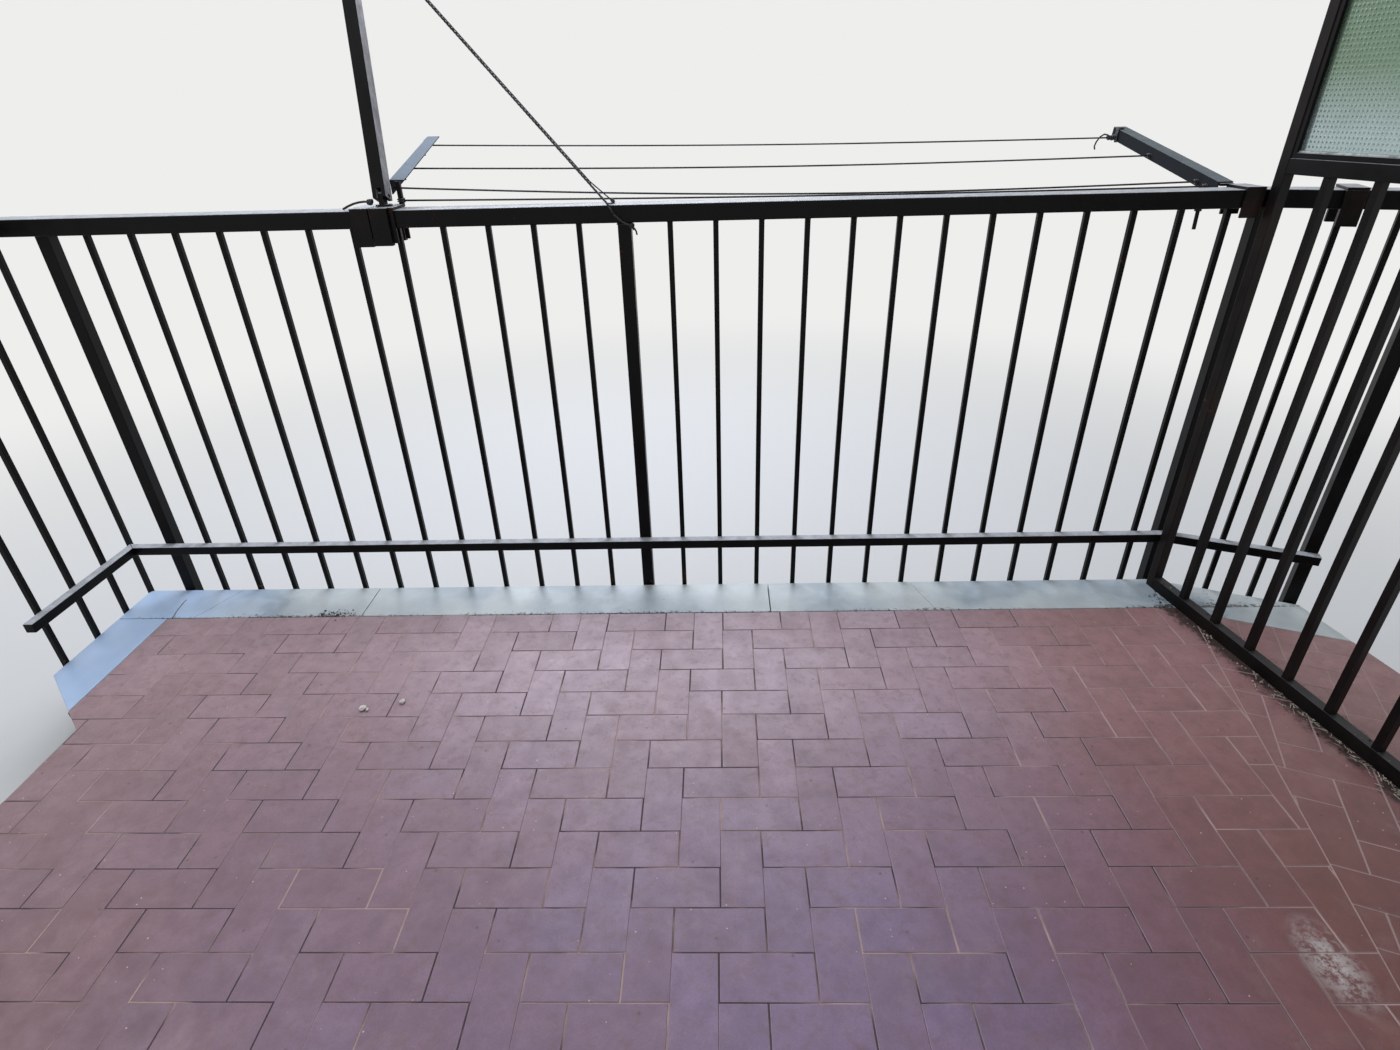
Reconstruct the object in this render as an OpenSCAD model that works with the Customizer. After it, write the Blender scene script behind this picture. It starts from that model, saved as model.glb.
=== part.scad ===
// Balcony with an iron railing, cut off at the walls it grows out of.
// Origin: on the slab's wall face, at half the slab's thickness. X along the wall, Y outwards, Z up.

/* [Slab] */
// thickness of the concrete slab
slab_t = 140; // [110:5:200]
// distance from the wall to the front edge
front_y = 1510; // [1400:5:1700]
// distance from the middle to the left edge
left_x = 1645; // [1600:5:1800]
// where the side wall stops, measured from the main wall
side_y = 1140; // [1000:5:1220]
// how far the side wall stands in from the left edge
side_in = 200; // [150:5:260]
// size of the slanted corner of the side wall
side_cut = 188; // [120:1:240]
// where the front edge bends towards the neighbour
bend_x = 1195; // [1185:1:1215]
// angle of that bend
bend_a = 22; // [12:1:26]
// length of the front edge past the bend
stub_l = 350; // [330:5:420]
// right end of the slab at the wall
right_x = 1740; // [1700:5:1850]
// thickness of the mortar bed
bed_t = 18; // [10:1:30]
// thickness of the floor tiles
tile_t = 12; // [8:1:16]

/* [Marble edging] */
// width of the marble strips
marble_w = 136; // [110:1:160]
// first joint of the front strip
joint_1 = -975; // [-1100:1:-800]
// second joint of the front strip
joint_2 = 132; // [0:1:300]
// open joint round the marble pieces
marble_gap = 2; // [1:0.5:4]

/* [Railing] */
// height of the railing over the floor
rail_h = 1000; // [900:5:1100]
// depth of the top rail
top_d = 66; // [56:1:70]
// height of the top rail
top_t = 37; // [25:1:45]
// side of the square posts
post_s = 30; // [26:1:34]
// thickness of the plate behind each post
plate_t = 6; // [4:1:8]
// width of that plate
plate_w = 80; // [60:2:100]
// side of the square balusters
bar_s = 12; // [10:1:14]
// height of the lower rail's top over the floor
low_z = 153; // [120:1:220]
// side of the square lower rail
low_s = 24; // [20:1:30]
// distance between balusters
pitch = 102.2; // [88:0.1:114]
// place of the middle post
mid_x = -206; // [-260:1:-190]
// how far the balusters go down past the floor
foot_drop = 145; // [120:5:165]
// first baluster of the left return, from the side wall
ret_first = 54; // [40:1:70]
// distance between the balusters of the left return
ret_pitch = 112; // [100:1:115]
// first baluster past the bend, from the bend
stub_first = 140; // [132:1:150]

/* [Divider] */
// angle of the divider to the square line from the wall
div_a = 10; // [6:1:14]
// place of the divider's front post
div_x = 1190; // [1180:1:1194]
// side of the divider's posts
div_post = 24; // [20:1:28]
// full height of the divider over the floor
div_h = 1900; // [1700:10:2100]
// thickness of the divider's rails
div_rail_t = 24; // [22:1:30]
// height of the bottom rail
div_low_h = 32; // [20:1:40]
// height of the middle rail's underside over the floor
div_mid_z = 1032; // [1010:2:1060]
// height of the middle rail
div_mid_h = 30; // [24:1:40]
// height of the top rail of the divider
div_top_h = 30; // [24:1:40]
// side of the divider's bars
div_bar = 16; // [12:1:20]
// distance between the divider's bars
div_pitch = 108; // [100:1:112]
// width of the mullion between the panes
mull_w = 24; // [20:1:36]
// width of the glazing frames
glaze_w = 10; // [8:1:16]
// depth of the glazing frames
glaze_d = 20; // [14:1:22]
// thickness of the glass
glass_t = 6; // [4:0.5:8]

/* [Awning arm] */
// place of the arm's clamp along the rail
arm_x = -741; // [-760:1:-731]
// width of a rail clamp
clamp_w = 40; // [32:1:42]
// how far the awning clamps hang down from the top of the rail
clamp_leg = 78; // [60:1:90]
// side of the square arm tube
arm_s = 30; // [24:1:31]
// length of the arm from its pin to the end
arm_l = 650; // [500:10:800]
// lean of the arm outwards from upright
arm_lean = 26; // [16:1:28]
// lean of the arm to the left
arm_side = 7; // [2:0.5:9]
// twist of the arm about its own length
arm_twist = 4.6; // [0:0.2:6]
// how far left of the middle post the stay crosses the top rail
stay_over = 32; // [20:1:60]
// thickness of the stay
stay_d = 5; // [3:0.5:6]

/* [Clothes rack] */
// reach of the rack past the front edge
rack_out = 620; // [400:5:700]
// distance from the right arm to the bend of the railing
rack_in = 66; // [60:1:110]
// left arm's top over the top rail, at the rail
rack_l_up = 56; // [44:1:70]
// rise of the left arm from the rail to its tip
rack_l_rise = 72; // [24:1:124]
// right arm's top over the top rail, at the rail
rack_r_up = 10; // [8:1:30]
// rise of the right arm from the rail to its tip
rack_r_rise = 97; // [50:1:150]
// how far the left arm's tip leans out
rack_l_out = 88; // [20:1:100]
// how far the right arm's tip leans out
rack_r_out = 7; // [0:1:60]
// width of the rack's angle irons
rack_w = 33; // [25:1:35]
// height of the rack's angle irons
rack_h = 30; // [25:1:35]
// thickness of the rack's angle irons
rack_t = 3; // [2:0.5:5]
// thickness of the lines
line_d = 4; // [3:0.5:5]
// depth of the lines under the arms' tops
line_drop = 20; // [14:1:24]

/* [Hidden] */
iron = [0.05, 0.055, 0.06];
stone = [0.80, 0.82, 0.84];
top_z = slab_t / 2;
floor_z = top_z + bed_t + tile_t;
rail_z = floor_z + rail_h;
under_z = rail_z - top_t;
drop_z = floor_z - foot_drop;
// the railing's lines, counted inwards from the slab's edge
post_o = -(plate_t + post_s / 2);
top_o1 = post_o - top_d / 2;
top_o2 = post_o + top_d / 2;
low_o1 = -plate_t;
low_o2 = -plate_t + low_s;
bar_o = -(plate_t + bar_s / 2);
// plan points
past = 2 * stub_l;
function bis(o) = [bend_x - o * tan(bend_a / 2), front_y - o];
function stub(o, l) = [bend_x + l * cos(bend_a) - o * sin(bend_a), front_y - l * sin(bend_a) - o * cos(bend_a)];
function corner(o) = [-left_x + o, front_y - o];
wall_l = -left_x + side_in;
side_low = side_y - side_cut;
plan = [corner(0), bis(0), stub(0, stub_l), [right_x, 0], [wall_l, 0], [wall_l, side_low], [-left_x, side_y]];
// bays
bar_gap = post_s / 2 + bar_s;
post_past = 3;
n_left = floor((mid_x + left_x - bar_o - bar_gap) / pitch);
n_mid = floor((bend_x + post_past - bar_gap - mid_x) / pitch);
post_l_x = mid_x - n_left * pitch;
post_up = 5;
plate_up = 10;
foot_h = 22;
end_l = stub_l - post_s / 2 - post_past;
// divider, s along it from the front post and p across it
div_y = front_y - low_o2 - 0.5 - div_post / 2 * (cos(div_a) + sin(div_a));
wall_post_d = div_post;
function dv(s, p) = [div_x + s * sin(div_a) + p * cos(div_a), div_y - s * cos(div_a) + p * sin(div_a)];
function s_end(p) = (div_y + p * sin(div_a) - wall_post_d) / cos(div_a);
hr = div_rail_t / 2;
s0 = div_post / 2;
s1 = s_end(-hr);
sm = (s0 + s1) / 2;
pane_z0 = floor_z + div_mid_z + div_mid_h;
pane_z1 = floor_z + div_h - div_top_h;
n_div = floor((s1 - 2 * div_bar) / div_pitch);
// awning arm
pin_y = front_y - post_o;
pin_up = 26;
pin_z = rail_z + pin_up;
pin_d = 6;
tang_t = 11;
tang_d = 20;
saddle_t = 6;
disc_h = 4;
clamp_t = 14;
arm_dir = [-sin(arm_side), sin(arm_lean) * cos(arm_side), cos(arm_lean) * cos(arm_side)];
tie = [arm_x, pin_y, pin_z] + (arm_l - 20) * arm_dir + [arm_s / 2 + stay_d, 0, 0];
stay_out = 0.9 * stay_d;
stay_face = front_y - top_o2 - stay_out;
stay = [
    tie,
    [mid_x - stay_over, stay_face, rail_z + stay_out],
    [mid_x + post_s / 2 + stay_out, stay_face, under_z - stay_out],
    [mid_x + post_s / 2 + stay_out, pin_y, under_z - 18]
];
// rack
lug_w = 10;
lug_x = arm_x + clamp_w / 2 + lug_w / 2 + 1;
hook_t = 5;
tongue_l = 40;
hook_x = div_x - div_post / 2 - 5;
rack_y0 = front_y - top_o1;
rack_y1 = front_y + rack_out;
rack_l0_z = rail_z + rack_l_up;
rack_l1_z = rack_l0_z + rack_l_rise;
rack_r0_z = rail_z + rack_r_up;
rack_r1_z = rack_r0_z + rack_r_rise;
rack_l = [[lug_x, rack_y0, rack_l0_z], [lug_x - rack_l_out, rack_y1, rack_l1_z]];
rack_r = [[bend_x - rack_in, rack_y0, rack_r0_z], [bend_x - rack_in + rack_r_out, rack_y1, rack_r1_z]];
function along(e, t) = e[0] + (e[1] - e[0]) * t;

module prism(z0, h, pts) {
    translate([0, 0, z0])
        linear_extrude(height = h)
            polygon(pts);
}

module slab() {
    color([0.62, 0.60, 0.57])
        prism(-slab_t / 2, slab_t, plan);
}

module inner_plan(z0, h, o) {
    intersection() {
        prism(z0, h, plan);
        prism(z0 - 1, h + 2, [[-left_x + o, front_y - o], bis(o), stub(o, past), [right_x + past, -1], [-left_x + o, -1]]);
    }
}

module screed_bed() {
    color([0.55, 0.53, 0.50])
        inner_plan(top_z, bed_t, marble_w);
}

module tile_field() {
    color([0.52, 0.25, 0.21])
        inner_plan(top_z + bed_t, tile_t, marble_w + marble_gap);
}

module marble(x0, x1) {
    color(stone)
        prism(top_z, bed_t + tile_t, [[x0, front_y], [x1, front_y], [x1, front_y - marble_w], [x0, front_y - marble_w]]);
}

module marble_front_left() {
    marble(-left_x, joint_1 - marble_gap / 2);
}

module marble_front_mid() {
    marble(joint_1 + marble_gap / 2, joint_2 - marble_gap / 2);
}

module marble_front_right() {
    g = marble_gap / 2;
    color(stone)
        prism(top_z, bed_t + tile_t, [[joint_2 + g, front_y], bis(0) - [g, 0], bis(marble_w) - [g, 0], [joint_2 + g, front_y - marble_w]]);
}

module marble_left() {
    color(stone)
        intersection() {
            prism(top_z, bed_t + tile_t, plan);
            translate([-left_x, side_low, top_z])
                cube([marble_w, front_y - marble_w - marble_gap - side_low, bed_t + tile_t]);
        }
}

module marble_stub() {
    g = marble_gap / 2;
    color(stone)
        intersection() {
            prism(top_z, bed_t + tile_t, plan);
            prism(top_z - 1, bed_t + tile_t + 2, [bis(0) + [g, 0], stub(0, past), stub(marble_w, past), bis(marble_w) + [g, 0]]);
        }
}

module rail_top_front() {
    color(iron)
        prism(under_z, top_t, [corner(top_o1), bis(top_o1), bis(top_o2), corner(top_o2)]);
}

module rail_top_left() {
    color(iron)
        prism(under_z, top_t, [corner(top_o1), corner(top_o2), [-left_x + top_o2, side_y], [-left_x + top_o1, side_y]]);
}

module rail_top_stub() {
    color(iron)
        prism(under_z, top_t, [bis(top_o1), stub(top_o1, stub_l), stub(top_o2, stub_l), bis(top_o2)]);
}

module rail_low_front() {
    color(iron)
        prism(floor_z + low_z - low_s, low_s, [corner(low_o1), bis(low_o1), bis(low_o2), corner(low_o2)]);
}

module rail_low_left() {
    color(iron)
        prism(floor_z + low_z - low_s, low_s, [corner(low_o1), corner(low_o2), [-left_x + low_o2, side_y], [-left_x + low_o1, side_y]]);
}

module rail_low_stub() {
    color(iron)
        prism(floor_z + low_z - low_s, low_s, [bis(low_o1), stub(low_o1, stub_l), stub(low_o2, stub_l), bis(low_o2)]);
}

// a post standing at the origin, with the plate from x0 to x1 that holds it to the slab's edge
module post_body(x0 = -plate_w / 2, x1 = plate_w / 2) {
    translate([-post_s / 2, -post_s / 2, -slab_t / 2 + post_up])
        cube([post_s, post_s, under_z + slab_t / 2 - post_up]);
    translate([x0, -post_s / 2 - plate_t, -slab_t / 2 + plate_up])
        cube([x1 - x0, plate_t, slab_t - 2 * plate_up]);
}

module post_left() {
    color(iron)
        translate([post_l_x, front_y - post_o, 0])
            post_body();
}

module post_middle() {
    color(iron)
        translate([mid_x, front_y - post_o, 0])
            post_body();
}

module post_bend() {
    color(iron)
        translate([bend_x + post_past, front_y - post_o, 0])
            post_body(-post_past - plate_w * 0.65, -post_past);
}

module post_end() {
    p = stub(post_o, end_l);
    color(iron)
        translate([p[0], p[1], 0])
            rotate([0, 0, -bend_a])
                post_body();
}

// one baluster at the origin, from its foot to the top rail
module bar() {
    translate([-bar_s / 2, -bar_s / 2, drop_z])
        cube([bar_s, bar_s, under_z - drop_z]);
}

module foot_strip(x0, x1) {
    translate([x0, -bar_s / 2, drop_z])
        cube([x1 - x0, bar_s, foot_h]);
}

module corner_bar() {
    color(iron)
        translate([0, front_y - bar_o, 0]) {
            translate([-left_x + bar_o, 0, 0])
                bar();
            foot_strip(-left_x + bar_o, post_l_x - post_s / 2);
        }
}

module panel_left() {
    color(iron)
        translate([0, front_y - bar_o, 0]) {
            for (i = [1:n_left - 1])
                translate([post_l_x + i * pitch, 0, 0])
                    bar();
            foot_strip(post_l_x + post_s / 2, mid_x - post_s / 2);
        }
}

module panel_middle() {
    color(iron)
        translate([0, front_y - bar_o, 0]) {
            for (i = [1:n_mid])
                translate([mid_x + i * pitch, 0, 0])
                    bar();
            foot_strip(mid_x + post_s / 2, bend_x + post_past - post_s / 2);
        }
}

module panel_return() {
    color(iron)
        translate([-left_x + bar_o, side_y, 0])
            rotate([0, 0, 90]) {
                for (i = [0:2])
                    translate([ret_first + i * ret_pitch, 0, 0])
                        bar();
                foot_strip(0, front_y - bar_o - bar_s / 2 - side_y);
            }
}

module panel_stub() {
    p = stub(bar_o, 0);
    color(iron)
        translate([p[0], p[1], 0])
            rotate([0, 0, -bend_a]) {
                for (i = [0:1])
                    translate([stub_first + i * pitch, 0, 0])
                        bar();
                foot_strip(stub_first - pitch, end_l - post_s / 2);
            }
}

module divider_post() {
    color(iron)
        translate([div_x, div_y, floor_z])
            rotate([0, 0, div_a])
                translate([-div_post / 2, -div_post / 2, 0])
                    cube([div_post, div_post, div_h]);
}

module divider_wall_post() {
    w = div_post + 8;
    c = div_x + (div_y - wall_post_d / 2) * tan(div_a);
    color(iron)
        translate([c - w / 2, 0, floor_z])
            cube([w, wall_post_d, div_h]);
}

module divider_rail(z0, h) {
    prism(z0, h, [dv(s0, -hr), dv(s0, hr), dv(s_end(hr), hr), dv(s_end(-hr), -hr)]);
}

module divider_grille() {
    color(iron) {
        divider_rail(floor_z, div_low_h);
        for (i = [1:n_div])
            translate([dv(i * div_pitch, 0)[0], dv(i * div_pitch, 0)[1], floor_z + div_low_h])
                rotate([0, 0, div_a])
                    translate([-div_bar / 2, -div_bar / 2, 0])
                        cube([div_bar, div_bar, div_mid_z - div_low_h]);
    }
}

module divider_mid_rail() {
    color(iron)
        divider_rail(floor_z + div_mid_z, div_mid_h);
}

module divider_top_rail() {
    color(iron)
        divider_rail(pane_z1, div_top_h);
}

module divider_mullion() {
    color(iron)
        prism(pane_z0, pane_z1 - pane_z0, [dv(sm - mull_w / 2, -hr), dv(sm - mull_w / 2, hr), dv(sm + mull_w / 2, hr), dv(sm + mull_w / 2, -hr)]);
}

// the space inside a glazing frame from a to b along the divider, in by o, half as deep as d
module glazing(a, b, o, d) {
    prism(pane_z0 + o, pane_z1 - pane_z0 - 2 * o, [dv(a + o, -d), dv(a + o, d), dv(b - o, d), dv(b - o, -d)]);
}

module pane(a, b) {
    color([0.75, 0.88, 0.82, 0.6])
        glazing(a, b, glaze_w / 2, glass_t / 2);
}

// a ring with a groove for its pane
module glazing_ring(a, b) {
    difference() {
        glazing(a, b, 0, glaze_d / 2);
        glazing(a, b, glaze_w, glaze_d / 2 + 1);
        pane(a, b);
    }
}

module glazing_frame_front() {
    color(iron)
        glazing_ring(s0, sm - mull_w / 2);
}

module glazing_frame_wall() {
    color(iron)
        glazing_ring(sm + mull_w / 2, s_end(-glaze_d / 2));
}

module glass_front() {
    pane(s0, sm - mull_w / 2);
}

module glass_wall() {
    pane(sm + mull_w / 2, s_end(-glaze_d / 2));
}

// an upside-down U that sits on the top rail, w wide, with legs that hang past it
module saddle(w, leg, wall) {
    difference() {
        translate([-w / 2, front_y - top_o2 - wall, rail_z + saddle_t - leg])
            cube([w, top_d + 2 * wall, leg]);
        translate([-w / 2 - 1, front_y - top_o2, rail_z - leg - 1])
            cube([w + 2, top_d, leg + 1]);
    }
}

// turns its children about the pin's middle into the arm's own direction: X up the arm, Y to the left
module in_arm() {
    translate([arm_x, pin_y, pin_z])
        rotate([-arm_lean, 0, 0])
            rotate([0, -arm_side, 0])
                rotate([0, -90, 90 - arm_twist])
                    children();
}

// the saddle over the rail, a disc on it, and the tang that the arm's forked foot is pinned to
module awning_clamp() {
    color(iron) {
        translate([arm_x, 0, 0])
            saddle(clamp_w, clamp_leg, clamp_t);
        translate([arm_x, pin_y, rail_z + saddle_t])
            cylinder(d = clamp_w - 4, h = disc_h, $fn = 48);
        intersection() {
            in_arm() {
                rotate([90, 0, 0])
                    cylinder(d = tang_d, h = tang_t, center = true, $fn = 48);
                translate([-2 * pin_up, -tang_t / 2, -tang_d / 2])
                    cube([2 * pin_up, tang_t, tang_d]);
                rotate([90, 0, 0])
                    cylinder(d = pin_d, h = arm_s - 1, center = true, $fn = 32);
            }
            translate([arm_x - clamp_w, pin_y - clamp_w, rail_z + saddle_t - 1])
                cube(2 * clamp_w);
        }
    }
}

module awning_arm() {
    back = 7;
    slot_w = tang_t + 1;
    slot_l = back + tang_d / 2 + 3;
    color(iron)
        in_arm()
            difference() {
                translate([-back, -arm_s / 2, -arm_s / 2])
                    cube([arm_l + back, arm_s, arm_s]);
                translate([-back - 1, -slot_w / 2, -arm_s])
                    cube([slot_l + 1, slot_w, 2 * arm_s]);
                rotate([90, 0, 0])
                    cylinder(d = pin_d + 0.4, h = 2 * arm_s, center = true, $fn = 32);
            }
}

// a round bar from a to b
module rod(a, b, d) {
    v = b - a;
    l = norm(v);
    translate(a)
        rotate([0, acos(v[2] / l), atan2(v[1], v[0])])
            cylinder(d = d, h = l, $fn = 24);
}

// the thick place at p where a bar from a turns towards b: a short pin across both
module kink(a, p, b, d) {
    n = cross(p - a, b - p);
    half = n / norm(n) * d / 2;
    rod(p - half, p + half, d);
}

// from the arm's end over the top rail's inner edge, down the rail's face and round to the middle post
module awning_stay() {
    color([0.10, 0.10, 0.11]) {
        for (i = [0:2])
            rod(stay[i], stay[i + 1], stay_d);
        for (i = [1:2])
            kink(stay[i - 1], stay[i], stay[i + 1], 1.4 * stay_d);
    }
}

module spare_clamp() {
    color(iron)
        translate([arm_x - clamp_w - 3, 0, 0])
            saddle(clamp_w, clamp_leg + 2, clamp_t - 2);
}

// turns its children into an arm's own direction: X along it, Z up from the middle of its top
module in_rack(e) {
    v = e[1] - e[0];
    translate(e[0])
        rotate([0, 0, atan2(v[1], v[0])])
            rotate([0, -asin(v[2] / norm(v)), 0])
                children();
}

// an angle iron with its upright leg on the left, cut off square at the distance y0 from the wall
module rack_arm(e, y0) {
    back = 2 * top_d;
    l = norm(e[1] - e[0]) + back;
    color([0.62, 0.65, 0.70])
        intersection() {
            in_rack(e) {
                translate([-back, -rack_w / 2, -rack_t])
                    cube([l, rack_w, rack_t]);
                translate([-back, rack_w / 2 - rack_t, -rack_h])
                    cube([l, rack_t, rack_h]);
            }
            translate([e[0][0] - past, y0, rail_z - rack_h])
                cube([2 * past, l, past]);
        }
}

module rack_arm_left() {
    rack_arm(rack_l, rack_y0 + 2);
}

module rack_arm_right() {
    rack_arm(rack_r, rack_y0 + hook_t);
}

// the left hook: a narrow saddle, with an upright on its outer leg that carries the arm
module rack_clamp_left() {
    upright_d = 2 * hook_t;
    color([0.30, 0.31, 0.33]) {
        translate([lug_x, 0, 0])
            saddle(lug_w, clamp_leg - 4, hook_t);
        intersection() {
            translate([lug_x - lug_w / 2, rack_y0, rail_z])
                cube([lug_w, upright_d, past]);
            in_rack(rack_l)
                translate([-top_d, -rack_w, -rack_t - past])
                    cube([2 * top_d, 2 * rack_w, past]);
        }
    }
}

// the right hook: a saddle beside the divider, with a tongue from its outer leg to under the arm
module rack_clamp_right() {
    color([0.30, 0.31, 0.33]) {
        translate([hook_x - clamp_w / 2, 0, 0])
            saddle(clamp_w, clamp_leg - 16, hook_t);
        intersection() {
            in_rack(rack_r)
                translate([-top_d, -rack_w / 2, -rack_t - hook_t])
                    cube([top_d + tongue_l, rack_w - rack_t, hook_t]);
            translate([rack_r[0][0] - past, rack_y0, rail_z])
                cube([2 * past, tongue_l, past]);
        }
    }
}

// a line from the point a to the outer face of the right arm's leg
module rack_line(a, t_right) {
    b = along(rack_r, t_right) + [-rack_w / 2, 0, -line_drop];
    color([0.12, 0.12, 0.12])
        rod(a, b, line_d);
}

function on_leg(t_left) = along(rack_l, t_left) + [-rack_w / 2 + rack_t, 0, -line_drop];

module rack_line_1() {
    rack_line(on_leg(0.97), 0.94);
}

module rack_line_2() {
    rack_line(on_leg(0.41), 0.58);
}

module rack_line_3() {
    rack_line(on_leg(0.035), 0.15);
}

// the last line is tied to the left hook's upright
module rack_line_4() {
    rack_line([lug_x + lug_w / 2, rack_y0 + hook_t, rail_z + line_drop], 0.08);
}

slab();
screed_bed();
tile_field();
marble_front_left();
marble_front_mid();
marble_front_right();
marble_left();
marble_stub();
rail_top_front();
rail_top_left();
rail_top_stub();
rail_low_front();
rail_low_left();
rail_low_stub();
post_left();
post_middle();
post_bend();
post_end();
corner_bar();
panel_left();
panel_middle();
panel_return();
panel_stub();
divider_post();
divider_wall_post();
divider_grille();
divider_mid_rail();
divider_top_rail();
divider_mullion();
glazing_frame_front();
glazing_frame_wall();
glass_front();
glass_wall();
awning_clamp();
awning_arm();
awning_stay();
spare_clamp();
rack_clamp_left();
rack_clamp_right();
rack_arm_left();
rack_arm_right();
rack_line_1();
rack_line_2();
rack_line_3();
rack_line_4();
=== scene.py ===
"""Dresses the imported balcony: floor tiles, marble, black iron, divider glass, awning arm and clothes rack."""

import itertools
import math
import random

import bmesh
import bpy
from bpy.props import FloatProperty, FloatVectorProperty, PointerProperty
from mathutils import Matrix, Quaternion, Vector


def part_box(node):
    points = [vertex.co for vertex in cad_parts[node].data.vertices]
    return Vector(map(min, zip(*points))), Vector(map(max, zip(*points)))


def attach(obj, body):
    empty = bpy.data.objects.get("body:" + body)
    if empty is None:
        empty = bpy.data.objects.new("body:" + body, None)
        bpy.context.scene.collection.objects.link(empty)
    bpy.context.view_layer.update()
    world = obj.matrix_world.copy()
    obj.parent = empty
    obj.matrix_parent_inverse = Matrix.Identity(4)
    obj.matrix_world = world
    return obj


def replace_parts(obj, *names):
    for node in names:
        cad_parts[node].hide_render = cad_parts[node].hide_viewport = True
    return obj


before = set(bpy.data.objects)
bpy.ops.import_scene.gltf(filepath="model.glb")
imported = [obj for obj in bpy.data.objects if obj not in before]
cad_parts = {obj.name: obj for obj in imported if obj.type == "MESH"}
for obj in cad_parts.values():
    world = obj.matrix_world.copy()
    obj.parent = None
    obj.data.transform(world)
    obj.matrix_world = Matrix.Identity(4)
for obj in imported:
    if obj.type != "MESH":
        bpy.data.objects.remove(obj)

bl_info = {
    "name": "Iron Balcony",
    "version": (1, 0, 0),
    "blender": (4, 5, 0),
    "location": "3D View > Sidebar > Balcony",
    "description": "Lays the tiles, finishes the iron and stone, and fits the small parts of a balcony",
    "category": "Object",
}

MM = 0.001
# With fewer tiles than this, the planes have cut the floor wrongly.
FEWEST_TILES = 250

# Places from the CAD, in millimetres: X to the right, Y outwards, Z up.
FRONT_Y = 1510
LEFT_X = -1645
BEND_X = 1195
BEND = math.radians(22)
# Past the bend: the length of the railing, its end post and its first baluster, and the way out from it.
STUB_L = 350
END_POST = 332
STUB_FIRST = 140
STUB_OUT = Vector((math.sin(BEND), math.cos(BEND), 0))
RIGHT_X = 1740
# The slab's slanted corner runs from the left edge to the corner of the cut-off face.
SLANT_END = Vector((-1645, 1140, 0))
SLANT_CORNER = Vector((-1445, 952, 0))
# How far the tiles stay in from the slab's edges.
EDGING = 138
# The divider's angle to the square line outwards, and the foot of its front post.
DIVIDER = math.radians(10)
DIVIDER_FOOT = (1190, 1477.6)
# The top rail's upper and lower face.
RAIL_Z = 1100
UNDER_Z = 1063
POST_Y = 1531
POST_XS = (-1534.6, -206)
# The balusters: the middle of the front row, its pitch, and the first one and the pitch of the left return.
BAR_Y = 1522
PITCH = 102.2
SIDE_FIRST = 54
SIDE_PITCH = 112
# The tops of the rack's arms, from their near to their far ends.
RACK_LEFT = (Vector((-715, 1564, 1156)), Vector((-803, 2130, 1228)))
RACK_RIGHT = (Vector((1129, 1564, 1110)), Vector((1136, 2130, 1207)))
# How far along the left and right arm each line is held, and the way from an arm's top to its line's hole.
LINE_SHARES = ((0.97, 0.94), (0.41, 0.58), (0.035, 0.15))
LAST_SHARE = 0.08
HOLE_LEFT = Vector((-13.5, 0, -20))
HOLE_RIGHT = Vector((-16.5, 0, -20))
# The awning arm's pin, the way the arm points and the way the pin points.
ARM_PIN = Vector((-741, 1531, 1126))
ARM_AIM = Vector((-0.1219, 0.4351, 0.8921))
ARM_LEFT = Vector((-0.9906, -0.1268, -0.0518))
# How far up the arm the stay's turns begin, and how far under its end in the CAD the rope starts.
ARM_TIE = 612
STAY_DROP = 16
# The stay, from the arm's tip over the rail's edge to the post.
STAY = (
    Vector((-797.8, 1805.1, 1688)),
    Vector((-238, 1493.5, 1104.5)),
    Vector((-186.5, 1493.5, 1058.5)),
    Vector((-186.5, 1531, 1045)),
)


def tint(code):
    """An sRGB hex colour as linear red, green, blue and full alpha."""
    parts = [int(code[i : i + 2], 16) / 255 for i in (1, 3, 5)]
    return tuple(c / 12.92 if c <= 0.04045 else ((c + 0.055) / 1.055) ** 2.4 for c in parts) + (1.0,)


def per(size):
    """The pattern scale whose features are that many millimetres wide."""
    return 1000.0 / size


def feed(node, links):
    """Gives inputs of a node a value each, or a node or output to read."""
    for key, value in links.items():
        if isinstance(key, int):
            named = node.inputs[key]
        else:
            named = next(s for s in node.inputs if s.name == key and s.enabled)
        if isinstance(value, bpy.types.Node):
            value = next(o for o in value.outputs if o.enabled)
        if isinstance(value, bpy.types.NodeSocket):
            node.id_data.links.new(value, named)
        else:
            named.default_value = value


def put(tree, kind, links=None, stops=None, **settings):
    """Adds a shader node with its settings, its ramp's positions and colours, and what feeds its inputs."""
    made = tree.nodes.new("ShaderNode" + kind)
    for key, value in settings.items():
        setattr(made, key, value)
    if stops:
        ramp = made.color_ramp.elements
        while len(ramp) < len(stops):
            ramp.new(0.5)
        for element, (where, colour) in zip(ramp, stops):
            element.position = where
            element.color = colour
    feed(made, links or {})
    return made


def spread(value, span, reach=(0.0, 1.0)):
    """The inputs that spread the span of a value over the reach."""
    return {"Value": value, "From Min": span[0], "From Max": span[1], "To Min": reach[0], "To Max": reach[1]}


def patches(tree, place, size, span, reach=(0.0, 1.0), **noise):
    """Soft patches of that many millimetres: the span of a noise, spread over the reach."""
    field = put(tree, "TexNoise", {"Vector": place, "Scale": per(size), **noise})
    return put(tree, "MapRange", spread(field, span, reach))


def covered(tree, base, *layers):
    """The base colour under layers, each of them given as how far it covers and its colour."""
    for cover, colour in layers:
        above = tint(colour) if isinstance(colour, str) else colour
        base = put(tree, "Mix", {"Factor": cover, "A": base, "B": above}, data_type="RGBA")
    return base


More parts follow.
